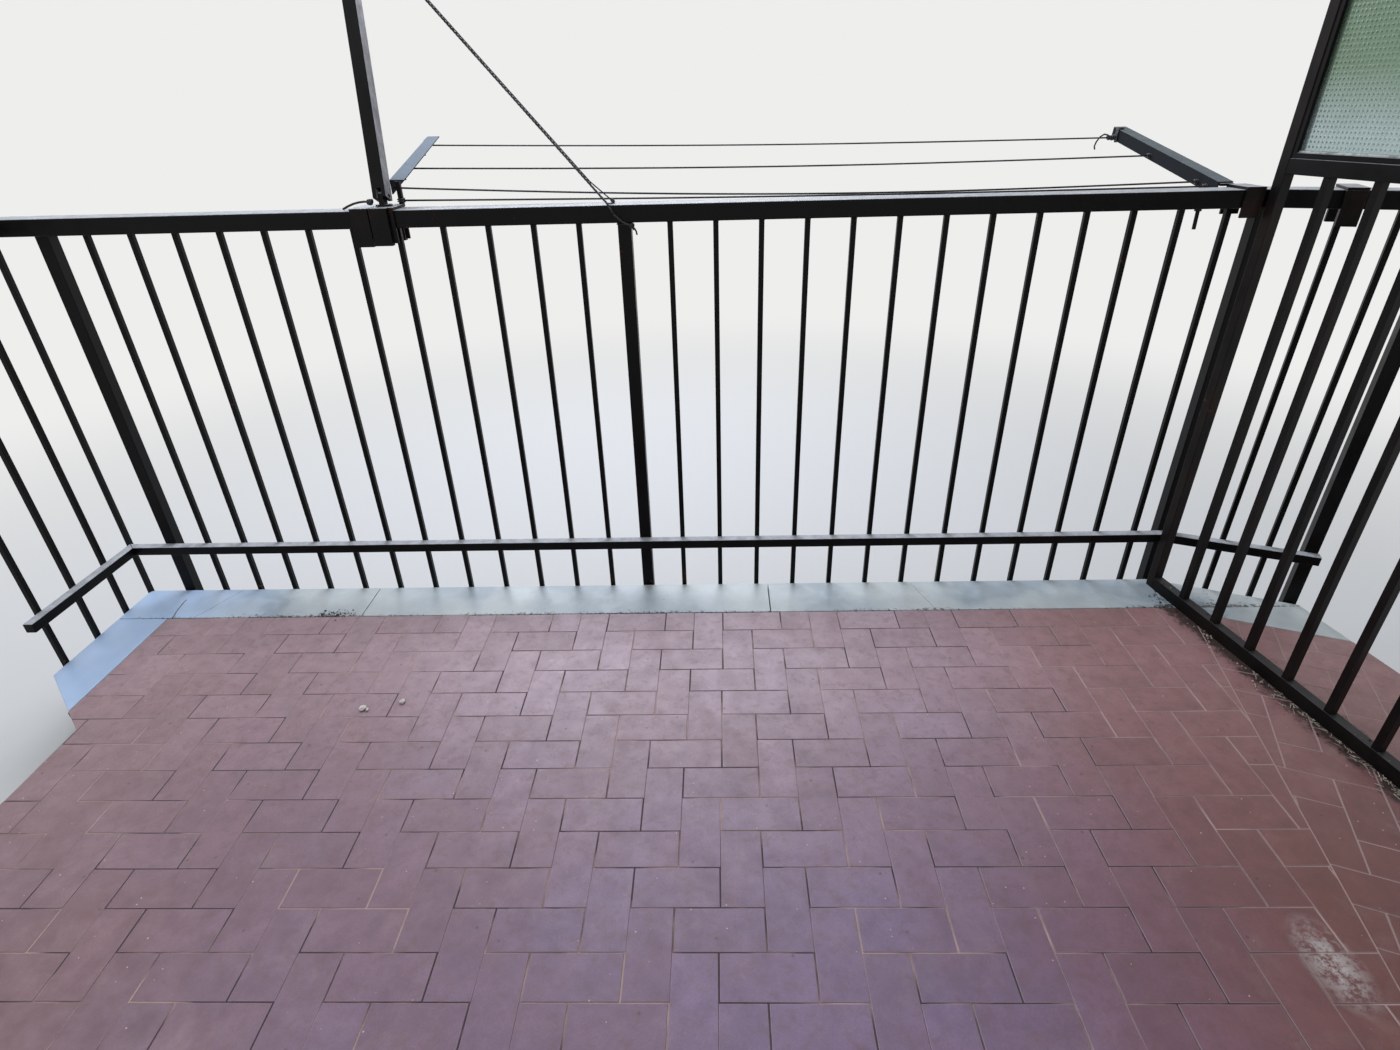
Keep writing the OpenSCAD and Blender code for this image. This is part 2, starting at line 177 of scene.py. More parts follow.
def begin(name):
    """A new material with its node tree, its surface shader and the object's own coordinates."""
    made = bpy.data.materials.new(name)
    made.use_nodes = True
    tree = made.node_tree
    shader = tree.nodes["Principled BSDF"]
    place = put(tree, "TexCoord").outputs["Object"]
    return made, tree, shader, place


# Materials


def quarry_tile(name, warm, sheen_colour, worn):
    """Unglazed pressed clay, fired red-brown and walked smooth: a matt mottled face, each tile its own shade,
    with a painted sky reflection as a mauve bloom in the middle and a paler painted sheen towards the outer
    edge."""
    made, tree, shader, place = begin(name)
    tone = put(tree, "Attribute", attribute_name="tone", attribute_type="GEOMETRY").outputs["Fac"]
    where = put(tree, "SeparateXYZ", {"Vector": place})
    # The bloom is a painted reflection of the sky. It fades out over the metre before the divider, and more
    # slowly towards the left.
    right = put(
        tree, "MapRange", spread(where.outputs["X"], (0.35, 1.0), (1.0, 0.0)), interpolation_type="SMOOTHSTEP"
    )
    left = put(
        tree,
        "MapRange",
        spread(where.outputs["X"], (-1.5, 0.1), (0.22, 1.0)),
        interpolation_type="SMOOTHSTEP",
    )
    cloud = patches(tree, place, 420, (0.3, 0.6), (0.55, 1.0), Detail=3.0, Roughness=0.55)
    bloom = put(tree, "Math", {0: right, 1: cloud}, operation="MULTIPLY")
    bloom = put(tree, "Math", {0: bloom, 1: left}, operation="MULTIPLY", use_clamp=True)
    # Towards the divider the floor turns darker and redder.
    by_divider = put(
        tree,
        "MapRange",
        spread(where.outputs["X"], (0.65, 1.15), (0.0, 0.9)),
        interpolation_type="SMOOTHSTEP",
    )
    # Painted sheen: the floor turns paler towards the outer edge, as the sky's reflection on the far tiles, a
    # little more where the bloom is.
    outer = put(
        tree,
        "MapRange",
        spread(where.outputs["Y"], (0.35, 1.35), (0.0, 0.62)),
        interpolation_type="SMOOTHSTEP",
    )
    thick = put(tree, "MapRange", spread(bloom, (0.0, 1.0), (0.8, 1.0)))
    outer = put(tree, "Math", {0: outer, 1: thick}, operation="MULTIPLY")
    far_sheen_tint = covered(tree, tint("#bd9394"), (right, "#bfa5aa"))
    # Over the clay's own colour: the darker red towards the divider, the painted sky reflection, and the
    # painted sheen at the outer edge.
    base = covered(tree, tint(warm), (by_divider, "#683f3b"), (bloom, sheen_colour), (outer, far_sheen_tint))
    # Firing shades: from tile to tile, and in soft patches across one tile.
    shade = put(tree, "MapRange", spread(tone, (0.0, 1.0), (0.93, 1.07)))
    patch = patches(tree, place, 46, (0.3, 0.7), (0.86, 1.12), Detail=4.0, Roughness=0.6)
    shade = put(tree, "Math", {0: shade, 1: patch}, operation="MULTIPLY")
    # Grog and sand in the clay are under a millimetre, drawn at 2.2 mm so that they show.
    grog = put(tree, "TexNoise", {"Vector": place, "Scale": per(2.2), "Detail": 2.0, "Roughness": 0.5})
    speck = put(tree, "MapRange", spread(grog, (0.3, 0.72), (0.9, 1.08)))
    shade = put(tree, "Math", {0: shade, 1: speck}, operation="MULTIPLY")
    base = put(tree, "VectorMath", {0: base, "Scale": shade}, operation="SCALE")
    # Brown fire marks, a finger wide.
    brown = patches(tree, place, 21, (0.5, 0.72), (0.0, 0.4), Detail=5.0, Roughness=0.65, Distortion=0.4)
    # Warm tiles among mauve ones.
    blush = put(tree, "Math", {0: tone, 1: 7.3}, operation="MULTIPLY")
    blush = put(tree, "Math", {0: blush}, operation="FRACT")
    blush = put(tree, "Math", {0: blush, 1: 0.16}, operation="MULTIPLY")
    # Lime dust in scuffs, and fine pale scratches.
    scuff = patches(tree, place, 130, (0.56, 0.8), (0.0, 0.24), Detail=6.0, Roughness=0.7, Distortion=0.6)
    long = put(tree, "Mapping", {"Vector": place, "Rotation": (0, 0, 0.6), "Scale": (1, 9, 1)})
    scratch = patches(tree, long, 60, (0.68, 0.74), (0.0, 0.14), Detail=3.0, Roughness=0.8)
    scuff = put(tree, "Math", {0: scuff, 1: scratch}, operation="MAXIMUM")
    # A smear of whitewash at the near side of the floor, ragged at its edge.
    away = put(tree, "VectorMath", {0: place, 1: mm(937, 430, 100)}, operation="SUBTRACT")
    away = put(tree, "VectorMath", {0: away, 1: (1.5, 0.85, 1.0)}, operation="MULTIPLY")
    away = put(tree, "VectorMath", {0: away.outputs[0]}, operation="LENGTH")
    smear = put(tree, "MapRange", spread(away.outputs["Value"], (0.015, 0.075), (1.0, 0.0)))
    torn = patches(tree, place, 18, (0.42, 0.55), (0.0, 0.72), Detail=5.0, Roughness=0.75)
    smear = put(tree, "Math", {0: smear, 1: torn}, operation="MULTIPLY")
    # Small dark drips and dots.
    dot = put(tree, "TexVoronoi", {"Vector": place, "Scale": per(190)}, feature="F1", voronoi_dimensions="2D")
    dot = put(tree, "MapRange", spread(dot.outputs["Distance"], (0.006, 0.02), (0.5, 0.0)))
    # Soil lies in a band along the divider's foot, ragged towards the floor.
    across = (math.cos(DIVIDER), math.sin(DIVIDER), 0.0)
    near = put(tree, "VectorMath", {0: place, 1: divider_point(0, 0, 0)}, operation="SUBTRACT")
    near = put(tree, "VectorMath", {0: near, 1: across}, operation="DOT_PRODUCT")
    near = put(tree, "Math", {0: near.outputs["Value"]}, operation="ABSOLUTE")
    ragged = patches(tree, place, 34, (0.35, 0.65), (-0.014, 0.026), Detail=6.0, Roughness=0.75)
    near = put(tree, "Math", {0: near, 1: ragged}, operation="SUBTRACT")
    near = put(tree, "MapRange", spread(near, (0.026, 0.046), (0.88, 0.0)))
    # Flecks of lime, 1 to 3 mm, trodden in here and there.
    fleck = put(
        tree, "TexVoronoi", {"Vector": place, "Scale": per(30)}, feature="F1", voronoi_dimensions="2D"
    )
    rare = put(tree, "SeparateXYZ", {"Vector": fleck.outputs["Color"]})
    flock = patches(tree, place, 160, (0.35, 0.7), (0.98, 0.6), Detail=2.0)
    size = put(tree, "MapRange", spread(rare.outputs["X"], (flock, 1.0), (0.0, 0.05)))
    fleck = put(tree, "Math", {0: size, 1: fleck.outputs["Distance"]}, operation="SUBTRACT")
    fleck = put(tree, "MapRange", spread(fleck, (0.0, 0.008), (0.0, 0.75)))
    # The last layer pales the rounded edges of the tiles: partly wear and lime, partly a painted highlight
    # where the arrises catch the light.
    base = covered(
        tree,
        base,
        (brown, "#6a4a43"),
        (blush, warm),
        (scuff, "#a79590"),
        (smear, "#c9c3bf"),
        (dot, "#3b2a29"),
        (near, "#2c2420"),
        (fleck, "#cdc3bd"),
        (worn, "#a8959a"),
    )
    rough = put(tree, "MapRange", spread(patch, (0.86, 1.12), (0.5, 0.38)))
    swell = put(tree, "TexNoise", {"Vector": place, "Scale": per(32), "Detail": 2.0})
    relief = put(tree, "Bump", {"Height": swell, "Strength": 0.35, "Distance": 0.0012})
    relief = put(tree, "Bump", {"Height": grog, "Normal": relief, "Strength": 0.3, "Distance": 0.0005})
    feed(shader, {"Base Color": base, "Roughness": rough, "Normal": relief})
    return made


def joint_mortar(name):
    """Sand and cement pressed between tiles: grey-brown, gritty, dark with dirt, in places still pale."""
    made, tree, shader, place = begin(name)
    clean = patches(tree, place, 150, (0.46, 0.62), Detail=3.0)
    where = put(tree, "SeparateXYZ", {"Vector": place})
    # Joints near the divider were filled again, with a paler mix.
    pale = put(tree, "MapRange", spread(where.outputs["X"], (0.75, 1.05), (0.0, 0.85)))
    clean = put(tree, "Math", {0: clean, 1: pale}, operation="MAXIMUM")
    sand = put(tree, "TexNoise", {"Vector": place, "Scale": per(3), "Detail": 3.0, "Roughness": 0.7})
    lime = covered(tree, tint("#9c8078"), (sand, "#cbb0a6"))
    base = covered(tree, tint("#352b2f"), (sand, "#54464d"), (clean, lime))
    relief = put(tree, "Bump", {"Height": sand, "Strength": 0.7, "Distance": 0.001})
    feed(shader, {"Base Color": base, "Roughness": 0.9, "Normal": relief})
    return made


def grey_marble(name):
    """Sawn grey-white marble, honed and weathered: a cold pale ground with soft grey veins, dull from rain,
    cracked, and with soil along its inner edge."""
    made, tree, shader, place = begin(name)
    warp = put(tree, "TexNoise", {"Vector": place, "Scale": per(170), "Detail": 4.0})
    bent = put(tree, "Mix", {"Factor": 0.22, "A": place, "B": warp.outputs["Color"]}, data_type="VECTOR")
    veins = put(
        tree,
        "TexWave",
        {"Vector": bent, "Scale": per(900), "Distortion": 9.0, "Detail": 4.0, "Detail Scale": 1.6},
        wave_type="BANDS",
        bands_direction="DIAGONAL",
    )
    shades = [(0.0, tint("#9facb4")), (0.16, tint("#b1bcc2")), (0.5, tint("#bdc6c9")), (1.0, tint("#c5cdcd"))]
    veins = put(tree, "ValToRGB", {"Fac": veins.outputs["Fac"]}, shades)
    cloud = patches(tree, place, 75, (0.3, 0.75), (0.86, 1.05), Detail=5.0, Roughness=0.6)
    base = put(tree, "VectorMath", {0: veins, "Scale": cloud}, operation="SCALE")
    where = put(tree, "SeparateXYZ", {"Vector": place})
    # Painted sky light: the edging turns blue towards its left end.
    cold = put(tree, "MapRange", spread(where.outputs["X"], (-1.52, -1.2), (0.62, 0.0)))
    # Grime gathers in the 20 mm beside the tiles, and thins out towards the front.
    inner = put(tree, "MapRange", spread(where.outputs["Y"], (1.374, 1.394), (0.2, 0.0)))
    front = put(tree, "Math", {0: where.outputs["Y"], 1: 1.37}, operation="GREATER_THAN")
    inner = put(tree, "Math", {0: inner, 1: front}, operation="MULTIPLY")
    soil = put(tree, "TexNoise", {"Vector": place, "Scale": per(11), "Detail": 5.0, "Roughness": 0.72})
    soil = put(tree, "Math", {0: soil, 1: inner}, operation="ADD")
    drift = patches(tree, place, 210, (0.35, 0.75), (-0.08, 0.1), Detail=2.0)
    soil = put(tree, "Math", {0: soil, 1: drift}, operation="ADD")
    # Soil lies thick in one heap near the left end, and in two that meet at the divider's foot.
    heaps = None
    for x, y, reach in ((-1040, 1385, 0.075), (1190, 1400, 0.07), (1300, 1400, 0.15)):
        far = put(tree, "VectorMath", {0: place, 1: mm(x, y, 100)}, operation="DISTANCE")
        heap = put(tree, "MapRange", spread(far.outputs["Value"], (0.0, reach), (0.17, 0.0)))
        heaps = heap if heaps is None else put(tree, "Math", {0: heaps, 1: heap}, operation="MAXIMUM")
    soil = put(tree, "Math", {0: soil, 1: heaps}, operation="ADD")
    soil = put(tree, "MapRange", spread(soil, (0.7, 0.8), (0.0, 0.9)))
    # A grey film lies where water stands.
    film = patches(tree, place, 95, (0.52, 0.8), (0.0, 0.24), Detail=6.0, Roughness=0.65, Distortion=0.5)
    # Each crack wobbles about a line: its middle, the way across it, half its length and half its width.
    crack = None
    for x, y, across, half, width in (
        (-1502, 1404, (0.985, 0.17, 0), 0.06, 0.0011),
        (-1400, 1450, (0.9, -0.44, 0), 0.09, 0.0004),
        (550, 1440, (0.96, 0.28, 0), 0.07, 0.0003),
    ):
        offset = put(tree, "VectorMath", {0: place, 1: mm(x, y, 100)}, operation="SUBTRACT")
        wobble = patches(tree, place, 40, (0.0, 1.0), (-0.006, 0.006), Detail=4.0)
        side = put(tree, "VectorMath", {0: offset.outputs[0], 1: across}, operation="DOT_PRODUCT")
        side = put(tree, "Math", {0: side.outputs["Value"], 1: wobble}, operation="ADD")
        side = put(tree, "Math", {0: side}, operation="ABSOLUTE")
        line = put(tree, "MapRange", spread(side, (width, width * 1.8), (1.0, 0.0)))
        near = put(tree, "VectorMath", {0: offset.outputs[0]}, operation="LENGTH")
        near = put(tree, "MapRange", spread(near.outputs["Value"], (half * 0.9, half), (1.0, 0.0)))
        line = put(tree, "Math", {0: line, 1: near}, operation="MULTIPLY")
        crack = line if crack is None else put(tree, "Math", {0: crack, 1: line}, operation="MAXIMUM")
    base = covered(tree, base, (cold, "#9fc2f0"), (soil, "#2b2a27"), (film, "#90959a"), (crack, "#3a3a3a"))
    rough = put(tree, "MapRange", spread(film, (0.0, 1.0), (0.42, 0.4)))
    pits = put(tree, "TexNoise", {"Vector": place, "Scale": per(5), "Detail": 3.0, "Roughness": 0.7})
    low = put(tree, "Math", {0: pits, 1: crack}, operation="SUBTRACT")
    relief = put(tree, "Bump", {"Height": low, "Strength": 0.3, "Distance": 0.0012})
    feed(shader, {"Base Color": base, "Roughness": rough, "Normal": relief})
    return made


def iron_enamel(name, paint, rust, dust, brown=0.0, lit_side_paling=0.0):
    """Black gloss enamel brushed on wrought and tube iron: a dark skin with brush and weather marks, dust with
    a painted sky sheen on what faces up, and rust that breaks through, most near the feet."""
    made, tree, shader, place = begin(name)
    look = bpy.context.scene.balcony_iron
    where = put(tree, "SeparateXYZ", {"Vector": place})
    facing = put(tree, "NewGeometry").outputs["Normal"]
    facing = put(tree, "SeparateXYZ", {"Vector": facing})
    weather = put(tree, "TexNoise", {"Vector": place, "Scale": per(85), "Detail": 5.0, "Roughness": 0.6})
    fade = put(tree, "MapRange", spread(weather, (0.4, 0.75), (0.0, 0.5)))
    base = covered(tree, paint, (fade, "#191a1b"))
    if brown:
        stain = patches(tree, place, 120, (0.35, 0.65), (0.0, brown), Detail=4.0)
        base = covered(tree, base, (stain, "#3f2f28"))
    if lit_side_paling:
        # Painted highlight: faces turned to the right are paled to a grey film, as the lit side of the awning
        # arm.
        lit_face = put(tree, "MapRange", spread(facing.outputs["X"], (0.6, 0.85), (0.0, lit_side_paling)))
        worn = patches(tree, place, 34, (0.36, 0.6), (1.0, 0.5), Detail=6.0, Roughness=0.7)
        lit_face = put(tree, "Math", {0: lit_face, 1: worn}, operation="MULTIPLY")
        base = covered(tree, base, (lit_face, "#b3b2b8"))
    # Dust settles on upward faces, thinner where rain has run. It is pale enough to paint the sky's sheen on
    # the tops too.
    up = put(tree, "MapRange", spread(facing.outputs["Z"], (0.55, 0.95)))
    dust_and_sheen = patches(tree, place, 28, (0.28, 0.68), (0.5, 1.0), Detail=6.0, Roughness=0.68)
    dust_and_sheen = put(tree, "Math", {0: dust_and_sheen, 1: up}, operation="MULTIPLY")
    dust_and_sheen = put(tree, "Math", {0: dust_and_sheen, 1: dust * look.dust}, operation="MULTIPLY", use_clamp=True)
    # Rust breaks out in spots of 6 to 40 mm.
    spots = put(tree, "TexNoise", {"Vector": place, "Scale": per(16), "Detail": 7.0, "Roughness": 0.7})
    groups = patches(tree, place, 240, (0.35, 0.7), (-0.12, 0.06), Detail=2.0)
    feet = put(tree, "MapRange", spread(where.outputs["Z"], (-0.04, 0.3), (0.1, 0.0)))
    spots = put(tree, "Math", {0: spots, 1: groups}, operation="ADD")
    spots = put(tree, "Math", {0: spots, 1: feet}, operation="ADD")
    edge = 0.7 - 0.2 * rust * look.rust
    broken = put(tree, "MapRange", spread(spots, (edge, edge + 0.035)))
    oxide = put(tree, "TexNoise", {"Vector": place, "Scale": per(7), "Detail": 5.0, "Roughness": 0.75})
    shades = [(0.3, tint("#2a1710")), (0.52, tint("#5b3019")), (0.75, tint("#8d5527"))]
    oxide = put(tree, "ValToRGB", {"Fac": oxide}, shades)
    base = covered(tree, base, (dust_and_sheen, "#cacdd2"), (broken, oxide))
    rough = put(tree, "MapRange", spread(weather, (0.3, 0.7), (0.3, 0.48)))
    dull = put(tree, "Math", {0: dust_and_sheen, 1: 0.35}, operation="MULTIPLY")
    dull = put(tree, "Math", {0: broken, 1: dull}, operation="MAXIMUM")
    rough = put(tree, "Mix", {"Factor": dull, "A": rough, "B": 0.85})
    # Brush marks of 1 to 2 mm, drawn at 4 mm, and blistered edges round the rust.
    brush = put(tree, "TexNoise", {"Vector": place, "Scale": per(4), "Detail": 2.0, "Roughness": 0.5})
    relief = put(tree, "Bump", {"Height": brush, "Strength": 0.18, "Distance": 0.0006})
    blister = put(tree, "Math", {0: spots, 1: broken}, operation="MULTIPLY")
    relief = put(tree, "Bump", {"Height": blister, "Normal": relief, "Strength": 0.6, "Distance": 0.0015})
    feed(shader, {"Base Color": base, "Roughness": rough, "Specular IOR Level": 0.12, "Normal": relief})
    return made


def chalked_paint(name, dark, light):
    """Light grey oil paint on rolled angle iron, chalked by sun: a pale blue-grey skin, chipped through to
    dark and rusty iron, and painted shade that darkens its flanks and underside."""
    made, tree, shader, place = begin(name)
    mottle = put(tree, "TexNoise", {"Vector": place, "Scale": per(38), "Detail": 5.0, "Roughness": 0.65})
    chips = patches(tree, place, 10, (0.66, 0.7), Detail=6.0, Roughness=0.72)
    oxide = put(tree, "TexNoise", {"Vector": place, "Scale": per(5), "Detail": 4.0})
    oxide = covered(tree, tint("#2c2a2b"), (oxide, "#5e4130"))
    # Painted shade: only what faces up stays pale. The flanks and the underside of the angle are darkened
    # nearly to black.
    facing = put(tree, "NewGeometry").outputs["Normal"]
    facing = put(tree, "SeparateXYZ", {"Vector": facing})
    shaded_flank = put(tree, "MapRange", spread(facing.outputs["Z"], (0.35, 0.7), (0.94, 0.0)))
    base = covered(tree, tint(dark), (mottle, light), (chips, oxide), (shaded_flank, "#26272a"))
    relief = put(tree, "Bump", {"Height": chips, "Strength": 0.4, "Distance": -0.0006})
    relief = put(tree, "Bump", {"Height": mottle, "Normal": relief, "Strength": 0.2, "Distance": 0.001})
    feed(shader, {"Base Color": base, "Roughness": 0.8, "Specular IOR Level": 0.0, "Normal": relief})
    return made


def cast_concrete(name, ground, light):
    """Cast concrete with a thin render: grey, pored and stained, with water streaks on its sides and board
    marks below."""
    made, tree, shader, place = begin(name)
    cloud = put(tree, "TexNoise", {"Vector": place, "Scale": per(260), "Detail": 6.0, "Roughness": 0.62})
    base = covered(tree, tint(ground), (cloud, light))
    sand = put(tree, "TexNoise", {"Vector": place, "Scale": per(4), "Detail": 3.0, "Roughness": 0.7})
    speck = put(tree, "MapRange", spread(sand, (0.3, 0.7), (0.88, 1.07)))
    base = put(tree, "VectorMath", {0: base, "Scale": speck}, operation="SCALE")
    # Water runs down the sides in streaks about 30 mm wide.
    run = put(tree, "Mapping", {"Vector": place, "Scale": (1, 1, 0.12)})
    run = patches(tree, run, 32, (0.5, 0.72), (0.0, 0.65), Detail=4.0, Roughness=0.6)
    facing = put(tree, "NewGeometry").outputs["Normal"]
    facing = put(tree, "SeparateXYZ", {"Vector": facing})
    steep = put(tree, "Math", {0: facing.outputs["Z"]}, operation="ABSOLUTE")
    steep = put(tree, "MapRange", spread(steep, (0.2, 0.5), (1.0, 0.0)))
    run = put(tree, "Math", {0: run, 1: steep}, operation="MULTIPLY")
    pores = put(tree, "TexVoronoi", {"Vector": place, "Scale": per(14)}, feature="F1")
    pores = put(tree, "MapRange", spread(pores.outputs["Distance"], (0.08, 0.17), (1.0, 0.0)))
    # Formwork boards 110 mm wide left ridges on the underside.
    where = put(tree, "SeparateXYZ", {"Vector": place})
    board = put(tree, "Math", {0: where.outputs["Y"], 1: 0.055}, operation="PINGPONG")
    board = put(tree, "MapRange", spread(board, (0.0, 0.0016), (1.0, 0.0)))
    below = put(tree, "MapRange", spread(facing.outputs["Z"], (-0.9, -0.5), (1.0, 0.0)))
    board = put(tree, "Math", {0: board, 1: below}, operation="MULTIPLY")
    ridge = put(tree, "Math", {0: board, 1: 0.5}, operation="MULTIPLY")
    base = covered(tree, base, (run, "#4f4c45"), (pores, "#57534c"), (ridge, "#6f6a61"))
    high = put(tree, "Math", {0: sand, 1: pores}, operation="SUBTRACT")
    high = put(tree, "Math", {0: high, 1: board}, operation="ADD")
    relief = put(tree, "Bump", {"Height": high, "Strength": 0.55, "Distance": 0.0016})
    feed(shader, {"Base Color": base, "Roughness": 0.88, "Normal": relief})
    return made


def pressed_glass(name):
    """Cast glass pressed with a fine square grid: pale green, it lets light through and breaks what is behind
    it into small squares."""
    made, tree, shader, place = begin(name)
    look = bpy.context.scene.balcony_glass
    turned = put(tree, "Mapping", {"Vector": place, "Rotation": (0, 0, -DIVIDER)})
    where = put(tree, "SeparateXYZ", {"Vector": turned})
    half = look.grid / 2
    along = put(tree, "Math", {0: where.outputs["Y"], 1: half}, operation="PINGPONG")
    up = put(tree, "Math", {0: where.outputs["Z"], 1: half}, operation="PINGPONG")
    low = put(tree, "Math", {0: along, 1: up, 2: half * 0.6}, operation="SMOOTH_MIN")
    height = put(tree, "MapRange", spread(low, (0.0, half)))
    film = put(tree, "TexNoise", {"Vector": place, "Scale": per(160), "Detail": 5.0, "Roughness": 0.6})
    # The grooves between the squares hold dirt.
    groove = put(tree, "Math", {0: along, 1: up}, operation="MINIMUM")
    groove = put(tree, "MapRange", spread(groove, (0.0004, 0.0016), (0.35, 0.0)))
    # Lime and dust washed down to the sill lie as a pale veil on the lowest hand's breadth.
    veil = put(tree, "MapRange", spread(film, (0.0, 1.0), (-0.05, 0.05)))
    veil = put(tree, "Math", {0: where.outputs["Z"], 1: veil}, operation="ADD")
    veil = put(tree, "MapRange", spread(veil, (1.2, 1.33), (0.85, 0.0)))
    green = look.colour[:] + (1.0,)
    base = covered(tree, green, (film, "#8aa58e"), (groove, "#4c6450"), (veil, "#bccdd0"))
    dirt = put(tree, "MapRange", spread(film, (0.35, 0.7), (0.14, 0.34)))
    relief = put(tree, "Bump", {"Height": height, "Strength": 0.6, "Distance": 0.0018})
    feed(
        shader,
        {"Base Color": base, "Roughness": dirt, "IOR": 1.5, "Transmission Weight": 0.8, "Normal": relief},
    )
    return made


def glazing_putty(name):
    """Linseed putty knifed along the glass: off-white, matt, cracked and greyed by dirt."""
    made, tree, shader, place = begin(name)
    lumps = put(tree, "TexNoise", {"Vector": place, "Scale": per(9), "Detail": 5.0, "Roughness": 0.65})
    shades = [(0.3, tint("#6f7472")), (0.5, tint("#a9afab")), (0.75, tint("#c9cdc8"))]
    base = put(tree, "ValToRGB", {"Fac": lumps}, shades)
    relief = put(tree, "Bump", {"Height": lumps, "Strength": 0.6, "Distance": 0.0012})
    feed(shader, {"Base Color": base, "Roughness": 0.75, "Normal": relief})
    return made


def zinc_steel(name):
    """Zinc-plated bolts gone dull: grey metal with white bloom and brown rust in the corners."""
    made, tree, shader, place = begin(name)
    bloom = put(tree, "TexNoise", {"Vector": place, "Scale": per(6), "Detail": 5.0, "Roughness": 0.7})
    shades = [(0.32, tint("#3b2a20")), (0.46, tint("#6a6763")), (0.7, tint("#9b9c9c"))]
    base = put(tree, "ValToRGB", {"Fac": bloom}, shades)
    rough = put(tree, "MapRange", spread(bloom, (0.0, 1.0), (0.7, 0.4)))
    relief = put(tree, "Bump", {"Height": bloom, "Strength": 0.35, "Distance": 0.0006})
    feed(shader, {"Base Color": base, "Metallic": 0.75, "Roughness": rough, "Normal": relief})
    return made


def tarred_cord(name, dark, light):
    """Twisted synthetic cord or coated line: near-black, with dull threads that catch the light."""
    made, tree, shader, place = begin(name)
    # Threads are 0.4 mm, drawn at 1.5 mm.
    thread = put(tree, "TexNoise", {"Vector": place, "Scale": per(1.5), "Detail": 2.0})
    worn = put(tree, "TexNoise", {"Vector": place, "Scale": per(120), "Detail": 4.0})
    both = put(tree, "Math", {0: thread, 1: worn}, operation="MULTIPLY")
    both = put(tree, "MapRange", spread(both, (0.12, 0.42)))
    base = covered(tree, tint(dark), (both, light))
    relief = put(tree, "Bump", {"Height": thread, "Strength": 0.4, "Distance": 0.0004})
    feed(shader, {"Base Color": base, "Roughness": 0.55, "Normal": relief})
    return made


def lime_crumb(name, dark, light):
    """Crumbs of old mortar and dry soil: matt, chalky, each a little different."""
    made, tree, shader, place = begin(name)
    kind = put(tree, "TexNoise", {"Vector": place, "Scale": per(22), "Detail": 4.0, "Roughness": 0.7})
    base = put(tree, "ValToRGB", {"Fac": kind}, [(0.35, tint(dark)), (0.65, tint(light))])
    grain = put(tree, "TexNoise", {"Vector": place, "Scale": per(1.4), "Detail": 3.0})
    relief = put(tree, "Bump", {"Height": grain, "Strength": 0.6, "Distance": 0.0008})
    feed(shader, {"Base Color": base, "Roughness": 0.95, "Normal": relief})
    return made


def studio_floor(name):
    """Pale matt paper, that turns into the plain background away from the balcony."""
    made, tree, shader, place = begin(name)
    feed(shader, {"Base Color": tint("#d6d6d4"), "Roughness": 0.9, "Specular IOR Level": 0.1})
    flat = put(tree, "VectorMath", {0: place, 1: (0.0, 0.8, 0.0)}, operation="SUBTRACT")
    away = put(tree, "VectorMath", {0: flat.outputs[0]}, operation="LENGTH")
    fade = put(tree, "MapRange", spread(away.outputs["Value"], (1.7, 4.6)), interpolation_type="SMOOTHSTEP")
    paper = put(tree, "Emission", {"Color": tint("#eeeeed"), "Strength": 1.0})
    both = put(tree, "MixShader", {0: fade, 1: shader.outputs[0], 2: paper})
    feed(tree.nodes["Material Output"], {"Surface": both})
    return made


def material(name):
    """The balcony's material of that name, made the first time it is asked for."""
    found = bpy.data.materials.get(name)
    if found:
        return found
    scene = bpy.context.scene
    paint = scene.balcony_iron.paint[:] + (1.0,)
    makers = {
        # The second colour is the mauve of the painted sky reflection.
        "quarry_tile": (quarry_tile, "#754b49", "#7c6782", 0.0),
        "tile_arris": (quarry_tile, "#754b49", "#7c6782", scene.balcony_floor.arris),
        "joint_mortar": (joint_mortar,),
        "grey_marble": (grey_marble,),
        "iron_enamel": (iron_enamel, paint, 0.12, 0.55),
        # The rails' tops get the most pale dust and painted sheen.
        "iron_enamel_rail": (iron_enamel, paint, 0.05, 0.9),
        # The arm's copy has a painted highlight on its right-facing side.
        "iron_enamel_arm": (iron_enamel, paint, 0.08, 0.5, 0.0, 0.85),
        "iron_enamel_clamp": (iron_enamel, paint, 0.22, 0.95, 0.15),
        "iron_enamel_grille": (iron_enamel, paint, 0.2, 0.06, 0.15),
        "iron_enamel_worn": (iron_enamel, paint, 0.22, 0.6, 0.25),
        "iron_enamel_rusty": (iron_enamel, paint, 0.3, 0.75, 0.45),
        "chalked_paint": (chalked_paint, "#87909a", "#959fa9"),
        "chalked_paint_dull": (chalked_paint, "#5d6466", "#848b8c"),
        "cast_concrete": (cast_concrete, "#8b867c", "#aaa49a"),
        "screed_mortar": (cast_concrete, "#746e66", "#8d877d"),
        "pressed_glass": (pressed_glass,),
        "glazing_putty": (glazing_putty,),
        "zinc_steel": (zinc_steel,),
        "tarred_cord": (tarred_cord, "#0e0e10", "#2e2f32"),
        "coated_line": (tarred_cord, "#101012", "#45474a"),
        "lime_crumb": (lime_crumb, "#8b7f70", "#cbc2b4"),
        "plaster_flake": (lime_crumb, "#cfc8c0", "#e8e3dc"),
        "dry_soil": (lime_crumb, "#241e1a", "#5b4a3b"),
        "studio_floor": (studio_floor,),
    }
    maker, *values = makers[name]
    return maker(name, *values)


# Shapes


def mm(x, y, z):
    """A point given in millimetres."""
    return Vector((x, y, z)) * MM


